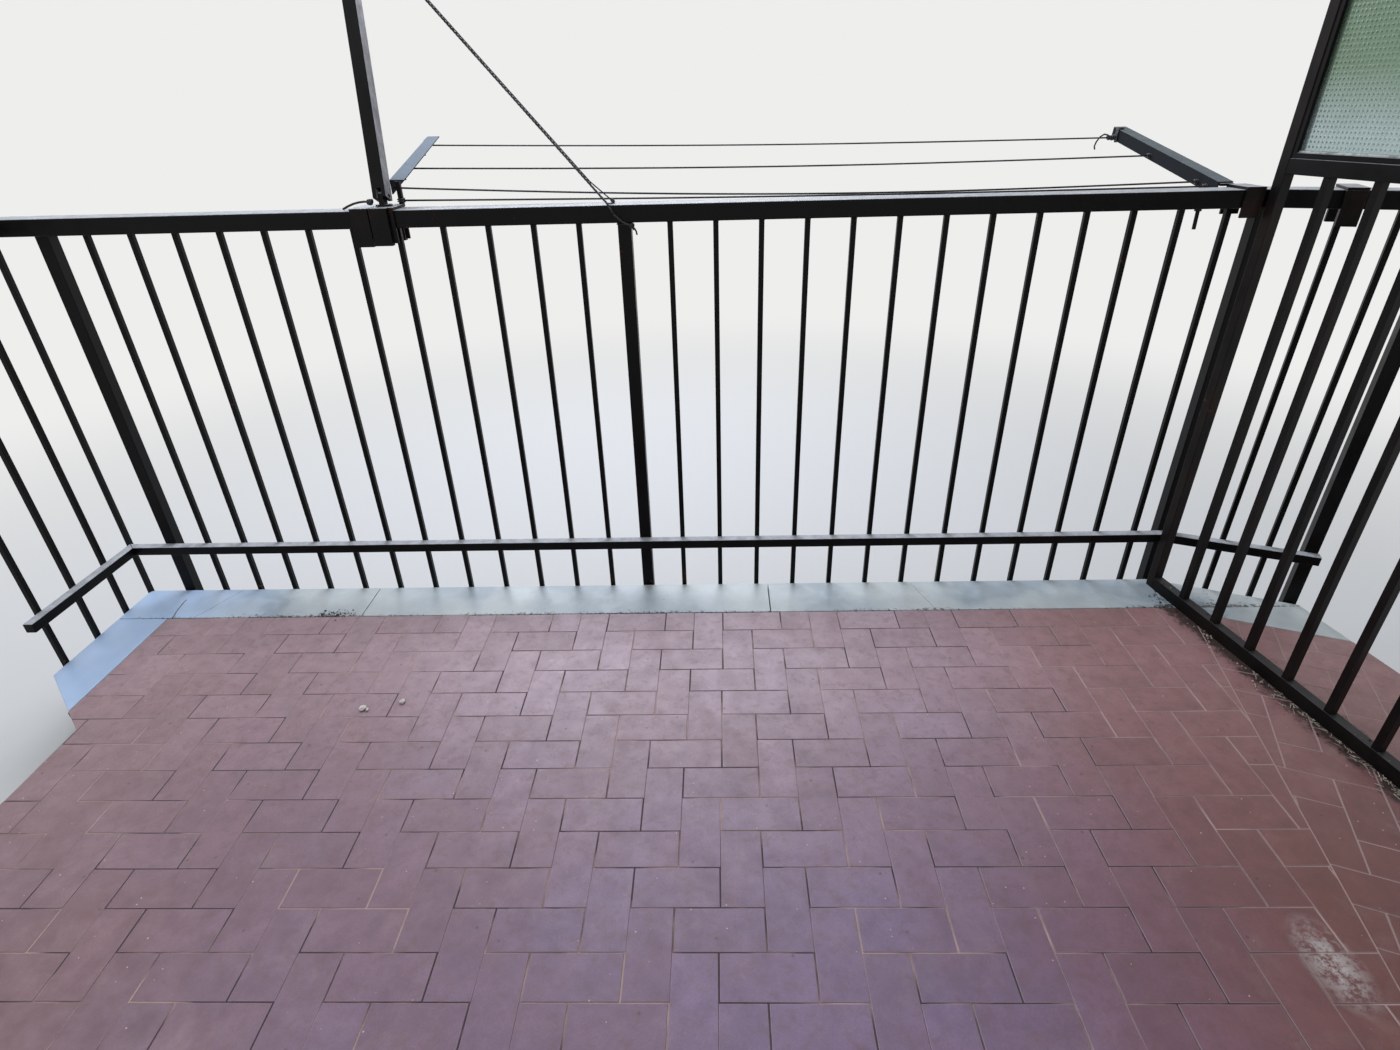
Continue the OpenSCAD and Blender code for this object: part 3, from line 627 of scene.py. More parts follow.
def stub_point(inwards, along, z):
    """A point past the bend: that far in from the slab's edge and along it from the bend, in millimetres."""
    return mm(
        BEND_X + along * math.cos(BEND) - inwards * math.sin(BEND),
        FRONT_Y - along * math.sin(BEND) - inwards * math.cos(BEND),
        z,
    )


def divider_point(along, across, z):
    """A point of the divider: that far from its front post, and to its right, in millimetres."""
    return mm(
        DIVIDER_FOOT[0] + along * math.sin(DIVIDER) + across * math.cos(DIVIDER),
        DIVIDER_FOOT[1] - along * math.cos(DIVIDER) + across * math.sin(DIVIDER),
        z,
    )


def on_arm(arm, share):
    """A point of a rack arm's top, in millimetres."""
    return arm[0] + (arm[1] - arm[0]) * share


def steps(at, *offsets):
    """Points that are given as steps from one place."""
    return [at + Vector(each) for each in offsets]


def aimed(way):
    """The turn that points Z that way."""
    return way.to_track_quat("Z", "Y").to_matrix().to_4x4()


def edges_of(verts):
    """The edges that end at these points, each of them once."""
    return list(dict.fromkeys(e for v in verts for e in v.link_edges))


def finish(name, bm, slot, *names, smooth=True, weighted=False):
    """Makes the piece from its bmesh, gives it its materials and lets it ride on the balcony."""
    mesh = bpy.data.meshes.new(name)
    bmesh.ops.recalc_face_normals(bm, faces=bm.faces)
    for face in bm.faces:
        face.smooth = smooth
    bm.to_mesh(mesh)
    bm.free()
    piece = bpy.data.objects.new(name, mesh)
    bpy.context.scene.collection.objects.link(piece)
    for each in names:
        mesh.materials.append(material(each))
    if weighted:
        even = piece.modifiers.new("even_shading", "WEIGHTED_NORMAL")
        even.keep_sharp = True
        even.weight = 100
    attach(piece, "root")
    return piece


def copied(node):
    """A bmesh of a CAD node with its loose triangles merged into clean faces."""
    bm = bmesh.new()
    bm.from_mesh(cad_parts[node].data)
    bmesh.ops.remove_doubles(bm, verts=bm.verts, dist=1e-5)
    bmesh.ops.dissolve_limit(bm, angle_limit=math.radians(0.6), verts=bm.verts, edges=bm.edges)
    return bm


def sharp(bm):
    """The edges at which the surface turns by more than 25 degrees."""
    return [e for e in bm.edges if len(e.link_faces) == 2 and e.calc_face_angle(0) > math.radians(25)]


def round_edges(bm, edges, width, segments=2, material=-1):
    """Rounds edges by that many millimetres, in the material beside them or in the one of that number."""
    bmesh.ops.bevel(
        bm,
        geom=edges,
        offset=width * MM,
        offset_type="OFFSET",
        affect="EDGES",
        segments=segments,
        profile=0.5,
        material=material,
        clamp_overlap=True,
    )


def rounded(node, width, slot, finish_name, segments=2):
    """A copy of a CAD node with the rounded edges of drawn bar and rolled tube, in the node's place."""
    bm = copied(node)
    round_edges(bm, sharp(bm), width, segments)
    name = node + ("_iron" if slot == "black_iron" else "_piece")
    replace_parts(finish(name, bm, slot, finish_name, weighted=True), node)


def repaint(node, name):
    """Gives a CAD node that keeps its own mesh its material."""
    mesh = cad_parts[node].data
    mesh.materials.clear()
    mesh.materials.append(material(name))


def tube(bm, points, radius, sides):
    """Extrudes one circle from point to point into a round bar, in millimetres."""
    points = [Vector(p) * MM for p in points]
    heading = (points[1] - points[0]).normalized()
    stand = Matrix.Translation(points[0]) @ aimed(heading)
    circle = bmesh.ops.create_circle(
        bm, cap_ends=True, segments=sides, radius=radius * MM, matrix=stand
    )["verts"]
    face = circle[0].link_faces[0]
    for i in range(1, len(points)):
        out = bmesh.ops.extrude_face_region(bm, geom=[face])["geom"]
        moved = [g for g in out if isinstance(g, bmesh.types.BMVert)]
        face = next(g for g in out if isinstance(g, bmesh.types.BMFace))
        step = points[i] - points[i - 1]
        after = points[min(i + 1, len(points) - 1)] - points[i]
        # Each circle faces halfway between the stretches before and after it.
        aim = (step.normalized() + after.normalized()).normalized()
        turn = heading.rotation_difference(aim).to_matrix()
        bmesh.ops.translate(bm, verts=moved, vec=step)
        bmesh.ops.rotate(bm, cent=points[i], matrix=turn, verts=moved)
        heading = aim


def laid_rope(bm, corners, off, thickness, lay):
    """Three strands wound round each other along a bent line, in millimetres, with one turn to each lay."""
    places, headings, gone = [], [], 0.0
    for first, last in zip(corners, corners[1:]):
        run = last - first
        count = max(2, round(run.length / 3))
        for i in range(count + (last is corners[-1])):
            places.append((first + run * i / count, gone + run.length * i / count))
            headings.append(run.normalized())
        gone += run.length
    side = headings[0].orthogonal().normalized()
    sides = [side]
    for before, after in zip(headings, headings[1:]):
        side = before.rotation_difference(after) @ side
        sides.append(side)
    for strand in range(3):
        line = [
            at + Quaternion(aim, math.tau * (done / lay + strand / 3)) @ out * off
            for (at, done), aim, out in zip(places, headings, sides)
        ]
        tube(bm, line, thickness, 6)


def loop(bm, middle, axis, radius, thickness):
    """A closed loop of cord round an axis, in millimetres."""
    axis = Vector(axis).normalized()
    middle = Vector(middle) * MM
    side = axis.orthogonal().normalized()
    stand = Matrix.Translation(middle + side * radius * MM) @ aimed(axis.cross(side))
    made = bmesh.ops.create_circle(
        bm, cap_ends=False, segments=7, radius=thickness * MM, matrix=stand
    )["verts"]
    bmesh.ops.spin(
        bm, geom=made + edges_of(made), cent=middle, axis=axis, angle=math.tau, steps=14, use_merge=True
    )


def wrap_square(bm, middle, u, v, half, rise, turns, thickness):
    """Winds cord round a square tube with sides along u and v: half is half a side, rise one turn's climb."""
    u, v = Vector(u).normalized(), Vector(v).normalized()
    axis = u.cross(v)
    reach = half + thickness
    points = []
    for step in range(int(turns * 12) + 1):
        angle = math.tau * step / 12
        c, s = math.cos(angle), math.sin(angle)
        # A square with round corners: the circle is pushed out towards the sides.
        stretch = reach / max(abs(c), abs(s)) * 0.86 + reach * 0.17
        points.append(Vector(middle) + u * c * stretch + v * s * stretch + axis * rise * step / 12)
    tube(bm, points, thickness, 7)


def knot(bm, at, axis, thickness, size, rng):
    """A hitch drawn tight: three loops that lean across each other."""
    axis = Vector(axis).normalized()
    side = axis.orthogonal().normalized()
    for i, lean in enumerate((-0.45, 0.1, 0.55)):
        tipped = Quaternion(side, lean + rng.uniform(-0.1, 0.1)) @ axis
        loop(bm, Vector(at) + axis * (i - 1) * thickness * 1.5, tipped, size, thickness)


def hex_bolt(bm, at, axis, across, head, stud=0.0):
    """A bolt head on its washer, with the end of its thread if it stands out, in millimetres."""
    axis = Vector(axis).normalized()
    washer = 1.6
    # Each stage: its sides, where it starts, how high it is, and its lower and upper radius as shares.
    for sides, start, high, low_share, top_share in (
        (20, 0, washer, 0.95, 0.92),
        (6, washer, head, 0.577, 0.577),
        (12, washer + head, stud, 0.29, 0.25),
    ):
        if not high:
            continue
        made = bmesh.ops.create_cone(
            bm,
            cap_ends=True,
            cap_tris=False,
            segments=sides,
            radius1=across * low_share * MM,
            radius2=across * top_share * MM,
            depth=high * MM,
            matrix=Matrix.Translation((Vector(at) + axis * (start + high / 2)) * MM) @ aimed(axis),
        )["verts"]
        if sides == 6:
            round_edges(bm, edges_of(made), 0.6, 1)


def weld(bm, at, along, length, size, rng):
    """One bead of weld metal, laid along a joint, in millimetres."""
    wide = size * rng.uniform(0.9, 1.2)
    high = size * rng.uniform(0.9, 1.2)
    shape = Matrix.Diagonal((wide, high, length / 2, 1))
    stand = Matrix.Translation(Vector(at) * MM) @ aimed(Vector(along))
    bmesh.ops.create_icosphere(bm, subdivisions=1, radius=MM, matrix=stand @ shape)


def lump(bm, at, size, rng, rough=0.28, flat=0.7, detail=1):
    """A broken crumb: an icosphere squashed and knocked out of round."""

    def anywhere():
        return Vector((rng.uniform(-1, 1), rng.uniform(-1, 1), rng.uniform(-1, 1)))

    turn = Quaternion(anywhere(), rng.uniform(0, 6)).to_matrix().to_4x4()
    squash = Matrix.Diagonal(
        (rng.uniform(0.8, 1.25), rng.uniform(0.75, 1.1), rng.uniform(flat - 0.15, flat + 0.1), 1)
    )
    stand = Matrix.Translation(Vector(at) * MM) @ squash @ turn
    for v in bmesh.ops.create_icosphere(bm, subdivisions=detail, radius=size * MM, matrix=stand)["verts"]:
        v.co += anywhere() * size * rough * MM


def lay_tile(floor, stand, face_z, cuts, shade):
    """Adds a tile to the floor, cut by planes, each a point and the way to keep. Tells if any is left."""
    one = bmesh.new()
    bmesh.ops.create_cube(one, size=1.0, matrix=stand)
    upper = [e for e in one.edges if (e.verts[0].co.z + e.verts[1].co.z) / 2 > face_z]
    round_edges(one, upper, 1.3, 2, 1)
    for p, n in cuts:
        if all((v.co - p).dot(n) > 0 for v in one.verts):
            continue
        whole = one.verts[:] + one.edges[:] + one.faces[:]
        sliced = bmesh.ops.bisect_plane(
            one, geom=whole, dist=1e-6, plane_co=(p.x, p.y, 0), plane_no=-n, clear_outer=True
        )
        rim = [g for g in sliced["geom_cut"] if isinstance(g, bmesh.types.BMEdge)]
        if rim:
            bmesh.ops.edgeloop_fill(one, edges=rim)
        for e in rim:
            e.smooth = False
    # Upright planes leave at least a three-sided prism, which has five faces.
    left = len(one.faces) >= 5
    if left:
        held = bpy.data.meshes.new("one_tile")
        one.to_mesh(held)
        before = len(floor.faces)
        floor.from_mesh(held)
        bpy.data.meshes.remove(held)
        floor.faces.ensure_lookup_table()
        tone = floor.faces.layers.float["tone"]
        for face in floor.faces[before:]:
            face[tone] = shade
    one.free()
    return left


# Settings


class BALCONY_PG_floor(bpy.types.PropertyGroup):
    """Sizes of the tiled floor."""

    step: FloatProperty(
        name="Tile step",
        description="Distance from joint to joint across one tile",
        default=0.07575,
        subtype="DISTANCE",
        unit="LENGTH",
        min=0.05,
        max=0.12,
    )
    joint: FloatProperty(
        name="Joint",
        description="Width of the joints between the tiles",
        default=0.0016,
        subtype="DISTANCE",
        unit="LENGTH",
        min=0.0005,
        max=0.006,
    )
    # Partly wear and lime, partly a painted highlight on the tiles' rounded edges.
    arris: FloatProperty(
        name="Arris wear",
        description="How far wear and lime have paled the rounded edges of the tiles",
        default=0.3,
        subtype="FACTOR",
        min=0.0,
        max=1.0,
    )
    depth: FloatProperty(
        name="Joint depth",
        description="How far the mortar lies under the tiles' faces",
        default=0.0012,
        subtype="DISTANCE",
        unit="LENGTH",
        min=0.0,
        max=0.004,
    )


class BALCONY_PG_iron(bpy.types.PropertyGroup):
    """Finish of the painted iron."""

    paint: FloatVectorProperty(
        name="Paint",
        description="Colour of the enamel",
        default=tint("#0b0b0c")[:3],
        subtype="COLOR",
        size=3,
        min=0.0,
        max=1.0,
    )
    rust: FloatProperty(
        name="Rust",
        description="How much rust breaks through the paint",
        default=1.0,
        subtype="FACTOR",
        min=0.0,
        max=2.0,
    )
    # Sets both the dust and the painted sheen on upward faces.
    dust: FloatProperty(
        name="Dust",
        description="How much dust lies on upward faces",
        default=1.0,
        subtype="FACTOR",
        min=0.0,
        max=2.0,
    )
    edge: FloatProperty(
        name="Edge radius",
        description="Rounding of the edges of tubes and bars",
        default=0.0016,
        subtype="DISTANCE",
        unit="LENGTH",
        min=0.0004,
        max=0.004,
    )


class BALCONY_PG_glass(bpy.types.PropertyGroup):
    """The divider's cast glass."""

    colour: FloatVectorProperty(
        name="Glass",
        description="Colour of the glass",
        default=tint("#719172")[:3],
        subtype="COLOR",
        size=3,
        min=0.0,
        max=1.0,
    )
    grid: FloatProperty(
        name="Grid",
        description="Side of one pressed square",
        default=0.009,
        subtype="DISTANCE",
        unit="LENGTH",
        min=0.004,
        max=0.03,
    )


# Operators


class BALCONY_OT_tiles(bpy.types.Operator):
    """Lay the floor in square herringbone, cut at the edging and where its two fields meet"""

    bl_idname = "balcony.tiles"
    bl_label = "Lay Floor Tiles"

    def execute(self, context):
        look = context.scene.balcony_floor
        low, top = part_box("tile_field")
        rng = random.Random(11)
        # The line on which the two fields meet, the way across it, and how far each field stays back from it.
        meet = mm(1228, 1372, 0)
        across = Vector((0.9759, -0.2191, 0))
        back = across * look.joint * 1.1
        corner = SLANT_CORNER * MM
        slant = (SLANT_CORNER - SLANT_END).normalized()
        slant_in = Vector((-slant.y, slant.x, 0))
        side = (mm(RIGHT_X, 0, 0) - stub_point(0, STUB_L, 0)).normalized()
        side_in = Vector((side.y, -side.x, 0))
        right, out = Vector((1, 0, 0)), Vector((0, 1, 0))
        front = (mm(0, FRONT_Y - EDGING, 0), -out)
        inner = (mm(0, 0, 0), out)
        left = (mm(LEFT_X + EDGING, 0, 0), right)
        # Each field: its origin, its steps along and across, which way the pattern leans, how far it reaches
        # both ways, and the planes that cut it.
        fields = (
            (
                mm(3, 1295, 0),
                right * look.step,
                Vector((-0.00143, -0.0771, 0)),
                -1,
                range(-21, 18),
                range(-2, 19),
                [front, inner, (meet - back, -across), left],
            ),
            (
                mm(1150.6, 894.0, 0),
                Vector((math.cos(BEND), -math.sin(BEND), 0)) * look.step * 1.03,
                -STUB_OUT * look.step,
                1,
                range(-6, 12),
                range(-9, 16),
                [
                    inner,
                    (meet + back, across),
                    (stub_point(EDGING, 0, 0), -STUB_OUT),
                    (stub_point(0, STUB_L, 0), side_in),
                ],
            ),
        )
        # Tiles further than this from a plane don't reach it.
        reach = look.step * 1.12
        count = 0
        whole = bmesh.new()
        whole.faces.layers.float.new("tone")
        for origin, column, row, lean, columns, rows, planes in fields:
            for i, j in itertools.product(columns, rows):
                phase = (i + lean * j) % 4
                flat, upright = (phase == 1, phase == 0) if lean < 0 else (phase == 0, phase == 2)
                if not (flat or upright):
                    continue
                wide, deep = (2, 1) if flat else (1, 2)
                middle = origin + column * (i + wide / 2) + row * (j + deep / 2)
                # Each set of planes cuts one piece. A tile at the slanted corner is an L of two pieces.
                pieces = [list(planes)]
                if lean < 0 and (middle - corner).xy.length < reach:
                    pieces = [
                        [*planes, (corner, slant_in), (corner, out)],
                        [*planes, (corner, right), (corner, -out)],
                    ]
                elif lean < 0:
                    pieces[0].append((corner, slant_in if middle.y > corner.y else right))
                if any((middle - p).dot(n) < -reach for p, n in pieces[0]):
                    continue
                # Each tile lies a little turned, tipped and sunk.
                turn = Matrix.Rotation(math.atan2(column.y, column.x) + rng.uniform(-0.003, 0.003), 4, "Z")
                tip = Matrix.Rotation(rng.uniform(-0.0022, 0.0022), 4, "X")
                tip = tip @ Matrix.Rotation(rng.uniform(-0.0022, 0.0022), 4, "Y")
                height = (top.z + low.z) / 2 - rng.uniform(0.0, 0.0005)
                size = (column.length * wide - look.joint, row.length * deep - look.joint, top.z - low.z, 1)
                stand = Matrix.Translation((middle.x, middle.y, height)) @ tip @ turn @ Matrix.Diagonal(size)
                shade = rng.random()
                for cuts in pieces:
                    count += lay_tile(whole, stand, height - 0.001, cuts, shade)
        if count < FEWEST_TILES:
            raise RuntimeError("the floor has too few tiles")
        floor = finish("floor_tiles", whole, "clay_tile", "quarry_tile", "tile_arris", weighted=True)
        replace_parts(floor, "tile_field")
        bed = copied("tile_field")
        bmesh.ops.translate(
            bed, verts=[v for v in bed.verts if v.co.z > low.z + 0.001], vec=(0, 0, -look.depth)
        )
        finish("joint_bed", bed, "mortar", "joint_mortar", smooth=False)
        return {"FINISHED"}


class BALCONY_OT_stone(bpy.types.Operator):
    """Finish the concrete slab, the mortar bed and the marble edging"""

    bl_idname = "balcony.stone"
    bl_label = "Finish Stone"

    def execute(self, context):
        slab = copied("slab")
        round_edges(slab, sharp(slab), 4)
        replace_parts(finish("slab_cast", slab, "concrete", "cast_concrete", weighted=True), "slab")
        repaint("screed_bed", "screed_mortar")
        for node in (
            "marble_front_left",
            "marble_front_mid",
            "marble_front_right",
            "marble_left",
            "marble_stub",
        ):
            bm = copied(node)
            if node == "marble_front_left":
                outer = {v for v in bm.verts if v.co.x < (LEFT_X + 1) * MM and v.co.y > (FRONT_Y - 1) * MM}
                corner = [e for e in bm.edges if outer.issuperset(e.verts)]
                if not corner:
                    raise RuntimeError("the outer corner of the edging isn't there")
                round_edges(bm, corner, 14, 5)
            round_edges(bm, sharp(bm), 1.8)
            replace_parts(finish(node + "_stone", bm, "marble", "grey_marble", weighted=True), node)
        return {"FINISHED"}


class BALCONY_OT_railing(bpy.types.Operator):
    """Round and paint the rails, posts and balusters"""

    bl_idname = "balcony.railing"
    bl_label = "Paint Railing"

    def execute(self, context):
        edge = context.scene.balcony_iron.edge / MM
        for node in ("rail_top_front", "rail_top_left", "rail_top_stub"):
            rounded(node, edge * 1.5, "black_iron", "iron_enamel_rail", 3)
        for node in ("rail_low_front", "rail_low_left", "rail_low_stub"):
            rounded(node, edge, "black_iron", "iron_enamel_rail")
        for node in ("post_left", "post_middle", "post_bend", "post_end"):
            rounded(node, edge, "black_iron", "iron_enamel")
        for node in ("panel_left", "panel_middle", "panel_return", "panel_stub", "corner_bar"):
            rounded(node, edge * 0.6, "black_iron", "iron_enamel")
        return {"FINISHED"}


class BALCONY_OT_fixings(bpy.types.Operator):
    """Add the bolts of the post plates, the weld beads of the balusters and the bolt left under the rail"""

    bl_idname = "balcony.fixings"
    bl_label = "Add Fixings"

    def execute(self, context):
        # The posts end in plates with two bolts on either side. At the bend there is room for the left two.
        plate, apart, heights = 6, 28, (42, -4)
        plate_bolt = (13, 6.5, 4)
        bolts = bmesh.new()
        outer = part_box("post_middle")[0].y / MM + plate
        for x in (*POST_XS, BEND_X + 3):
            for side, z in itertools.product((-1, 1), heights):
                if x < BEND_X or side < 0:
                    hex_bolt(bolts, (x + side * apart, outer, z), (0, 1, 0), *plate_bolt)
        for side, z in itertools.product((-1, 1), heights):
            at = stub_point(-plate, END_POST + side * apart, z) / MM
            hex_bolt(bolts, at, STUB_OUT, *plate_bolt)
        # A long bolt was left hanging through the underside of the top rail.
        left = bmesh.new()
        tube(left, [(1062, POST_Y, UNDER_Z + 2), (1064, POST_Y, UNDER_Z - 45)], 4, 12)
        hex_bolt(left, (1062, POST_Y, UNDER_Z), (0, 0, -1), 13, 6)
        finish("left_bolt", left, "black_iron", "iron_enamel_worn", smooth=False)
        finish("plate_bolts", bolts, "black_iron", "zinc_steel", smooth=False)

        # Beads join the balusters to the lower rail, the top rail and the strip at their feet.
        beads = bmesh.new()
        rng = random.Random(5)
        low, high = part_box("rail_low_front")
        mid_z = (low.z + high.z) / 2 / MM
        under, foot = UNDER_Z - 1, -23
        right, out, up = (1, 0, 0), (0, 1, 0), (0, 0, 1)
        xs = [POST_XS[0] + PITCH * i for i in range(1, 13)] + [POST_XS[1] + PITCH * i for i in range(1, 14)]
        for x in xs:
            for side in (-1, 1):
                weld(beads, (x + side * 6.3, 1516.3, mid_z), up, 20, 2.1, rng)
                weld(beads, (x + side * 6.4, BAR_Y, under), out, 11, 2.3, rng)
            for y in (BAR_Y - 6.5, BAR_Y + 6.3):
                weld(beads, (x, y, under), right, 11, 2.3, rng)
            for side in (1, -1):
                weld(beads, (x + side * 6.3, BAR_Y, foot), out, 11, 2.2, rng)
        face = 15.4
        for x in POST_XS:
            for side in (-1, 1):
                weld(beads, (x + side * face, POST_Y, under), out, 28, 3, rng)
                weld(beads, (x + side * face, POST_Y - face, mid_z), up, 22, 2.6, rng)
            weld(beads, (x, POST_Y - face, under), right, 28, 3, rng)
        for i, side in itertools.product(range(3), (-1, 1)):
            y = SLANT_END.y + SIDE_FIRST + SIDE_PITCH * i
            weld(beads, (LEFT_X - 6.3, y + side * 6.3, mid_z), up, 20, 2.1, rng)
            weld(beads, (LEFT_X - 12, y + side * 6.4, under), right, 11, 2.3, rng)
        for along, side in itertools.product((STUB_FIRST, STUB_FIRST + PITCH), (-1, 1)):
            weld(beads, stub_point(-12, along + side * 6.4, under) / MM, STUB_OUT, 11, 2.3, rng)
            weld(beads, stub_point(-6.3, along + side * 6.4, mid_z) / MM, up, 20, 2.1, rng)
        finish("weld_beads", beads, "black_iron", "iron_enamel_worn")
        return {"FINISHED"}


class BALCONY_OT_divider(bpy.types.Operator):
    """Finish the divider: its iron, its cast glass and the putty along it"""

    bl_idname = "balcony.divider"
    bl_label = "Finish Divider"

    def execute(self, context):
        edge = context.scene.balcony_iron.edge / MM
        rounded("divider_post", edge, "black_iron", "iron_enamel_worn")
        rounded("divider_wall_post", edge, "black_iron", "iron_enamel_worn")
        rounded("divider_grille", edge * 0.7, "black_iron", "iron_enamel_grille")
        for node in ("divider_mid_rail", "divider_top_rail", "divider_mullion"):
            rounded(node, edge, "black_iron", "iron_enamel")
        for node in ("glazing_frame_front", "glazing_frame_wall"):
            rounded(node, edge * 0.5, "black_iron", "iron_enamel")
        for node in ("glass_front", "glass_wall"):
            repaint(node, "pressed_glass")
        # Putty lies in the angle between the glass and the bottom of its frame, on both faces.
        putty = bmesh.new()
        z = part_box("glass_front")[0].z / MM + 6.2
        for (first, last), across in itertools.product(((22, 702), (748, 1430)), (-3.4, 3.4)):
            line = [divider_point(along, across, z) / MM for along in (*range(first, last, 34), last)]
            tube(putty, line, 3.0, 6)
        finish("sill_putty", putty, "pattern_glass", "glazing_putty")
        return {"FINISHED"}


class BALCONY_OT_awning(bpy.types.Operator):
    """Finish the awning arm and its clamps, and tie its stay"""

    bl_idname = "balcony.awning"
    bl_label = "Finish Awning Arm"

    def execute(self, context):
        edge = context.scene.balcony_iron.edge / MM
        rng = random.Random(3)
        rounded("awning_arm", edge * 1.2, "black_iron", "iron_enamel_arm", 3)
        rounded("awning_clamp", edge * 0.6, "black_iron", "iron_enamel_clamp")
        rounded("spare_clamp", edge * 0.8, "black_iron", "iron_enamel_clamp")

        # The stay is three strands laid up round each other, bent over the rail's edge and slack on its face.
        rope = bmesh.new()
        start = STAY[0] - ARM_AIM * STAY_DROP
        slack = steps(STAY[1], (14, 0, -23.5), (31, 0, -38.5))
        laid_rope(rope, (start, STAY[1], *slack, STAY[2] - Vector((0, 0, 1.5)), STAY[3]), 1.3, 1.35, 30)
        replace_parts(finish("stay_rope", rope, "stay_cord", "tarred_cord"), "awning_stay")

        ties = bmesh.new()
        # At the post: one turn close under the top rail, a hitch on the right, and a short tail.
        wrap_square(ties, (POST_XS[1], POST_Y, 1056), (1, 0, 0), (0, 1, 0), 15, 3.2, 1.4, 1.4)
        knot(ties, STAY[2] + Vector((0, 4, -2)), (0.5, -0.6, 0.6), 1.9, 3.4, rng)
        tube(ties, steps(STAY[2], (1, 5, -4), (5, 6, -8), (8, 8, -14), (9, 11, -21)), 1.9, 7)
        # At the arm's tip: turns round the tube and a hitch beside it.
        tip = ARM_PIN + ARM_AIM * ARM_TIE
        wrap_square(ties, tip, ARM_LEFT, ARM_AIM.cross(ARM_LEFT), 15, 5.2, 3.2, 2.4)
        knot(ties, start + Vector((3, -2, -4)), STAY[1] - start, 2.2, 4.0, rng)
        tube(ties, steps(start, (2, -2, -2), (6, -5, -12), (7, -8, -26), (5, -9, -42)), 2.2, 7)
        # A second, thinner cord lies along the stay, leaves it above the rail and is knotted on the rail.
        held = Vector((-229.5, 1533, RAIL_Z + 4.5))
        beside = Vector((3.2, 1.6, 1.8))
        split = start.lerp(STAY[1], 0.93) + beside
        second = [(start + beside).lerp(split, i / 10) for i in range(11)] + [held]
        tube(ties, second, 1.4, 7)
        knot(ties, held, (0.4, 0.2, -0.9), 1.8, 3.0, rng)
        end = [held, (-231, 1522, RAIL_Z + 2.2), (-234, 1508, RAIL_Z + 2.2), (-238, 1496, RAIL_Z + 4)]
        tube(ties, end, 1.5, 7)
        # A dark cord arches over both clamps.
        arch = [
            (-831, 1521, 1102.4),
            (-819, 1521, 1108),
            (-805, 1520, 1113),
            (-791, 1518, 1116),
            (-777, 1514, 1117.5),
            (-765, 1510, 1117.5),
            (-757, 1506, 1116),
        ]
        tube(ties, arch, 2.4, 8)
        knot(ties, (-760, 1506, 1117), (1, -0.5, 0.1), 2.3, 4.6, rng)
        finish("stay_ties", ties, "stay_cord", "tarred_cord")
        # The pin's ends are hammered to low domes.
        heads = bmesh.new()
        dome = aimed(ARM_LEFT) @ Matrix.Diagonal((4.6, 4.6, 1.8, 1))
        for side in (-1, 1):
            stand = Matrix.Translation((ARM_PIN + ARM_LEFT * side * 15) * MM) @ dome
            bmesh.ops.create_uvsphere(heads, u_segments=16, v_segments=8, radius=MM, matrix=stand)
        finish("pin_heads", heads, "black_iron", "iron_enamel")
        return {"FINISHED"}


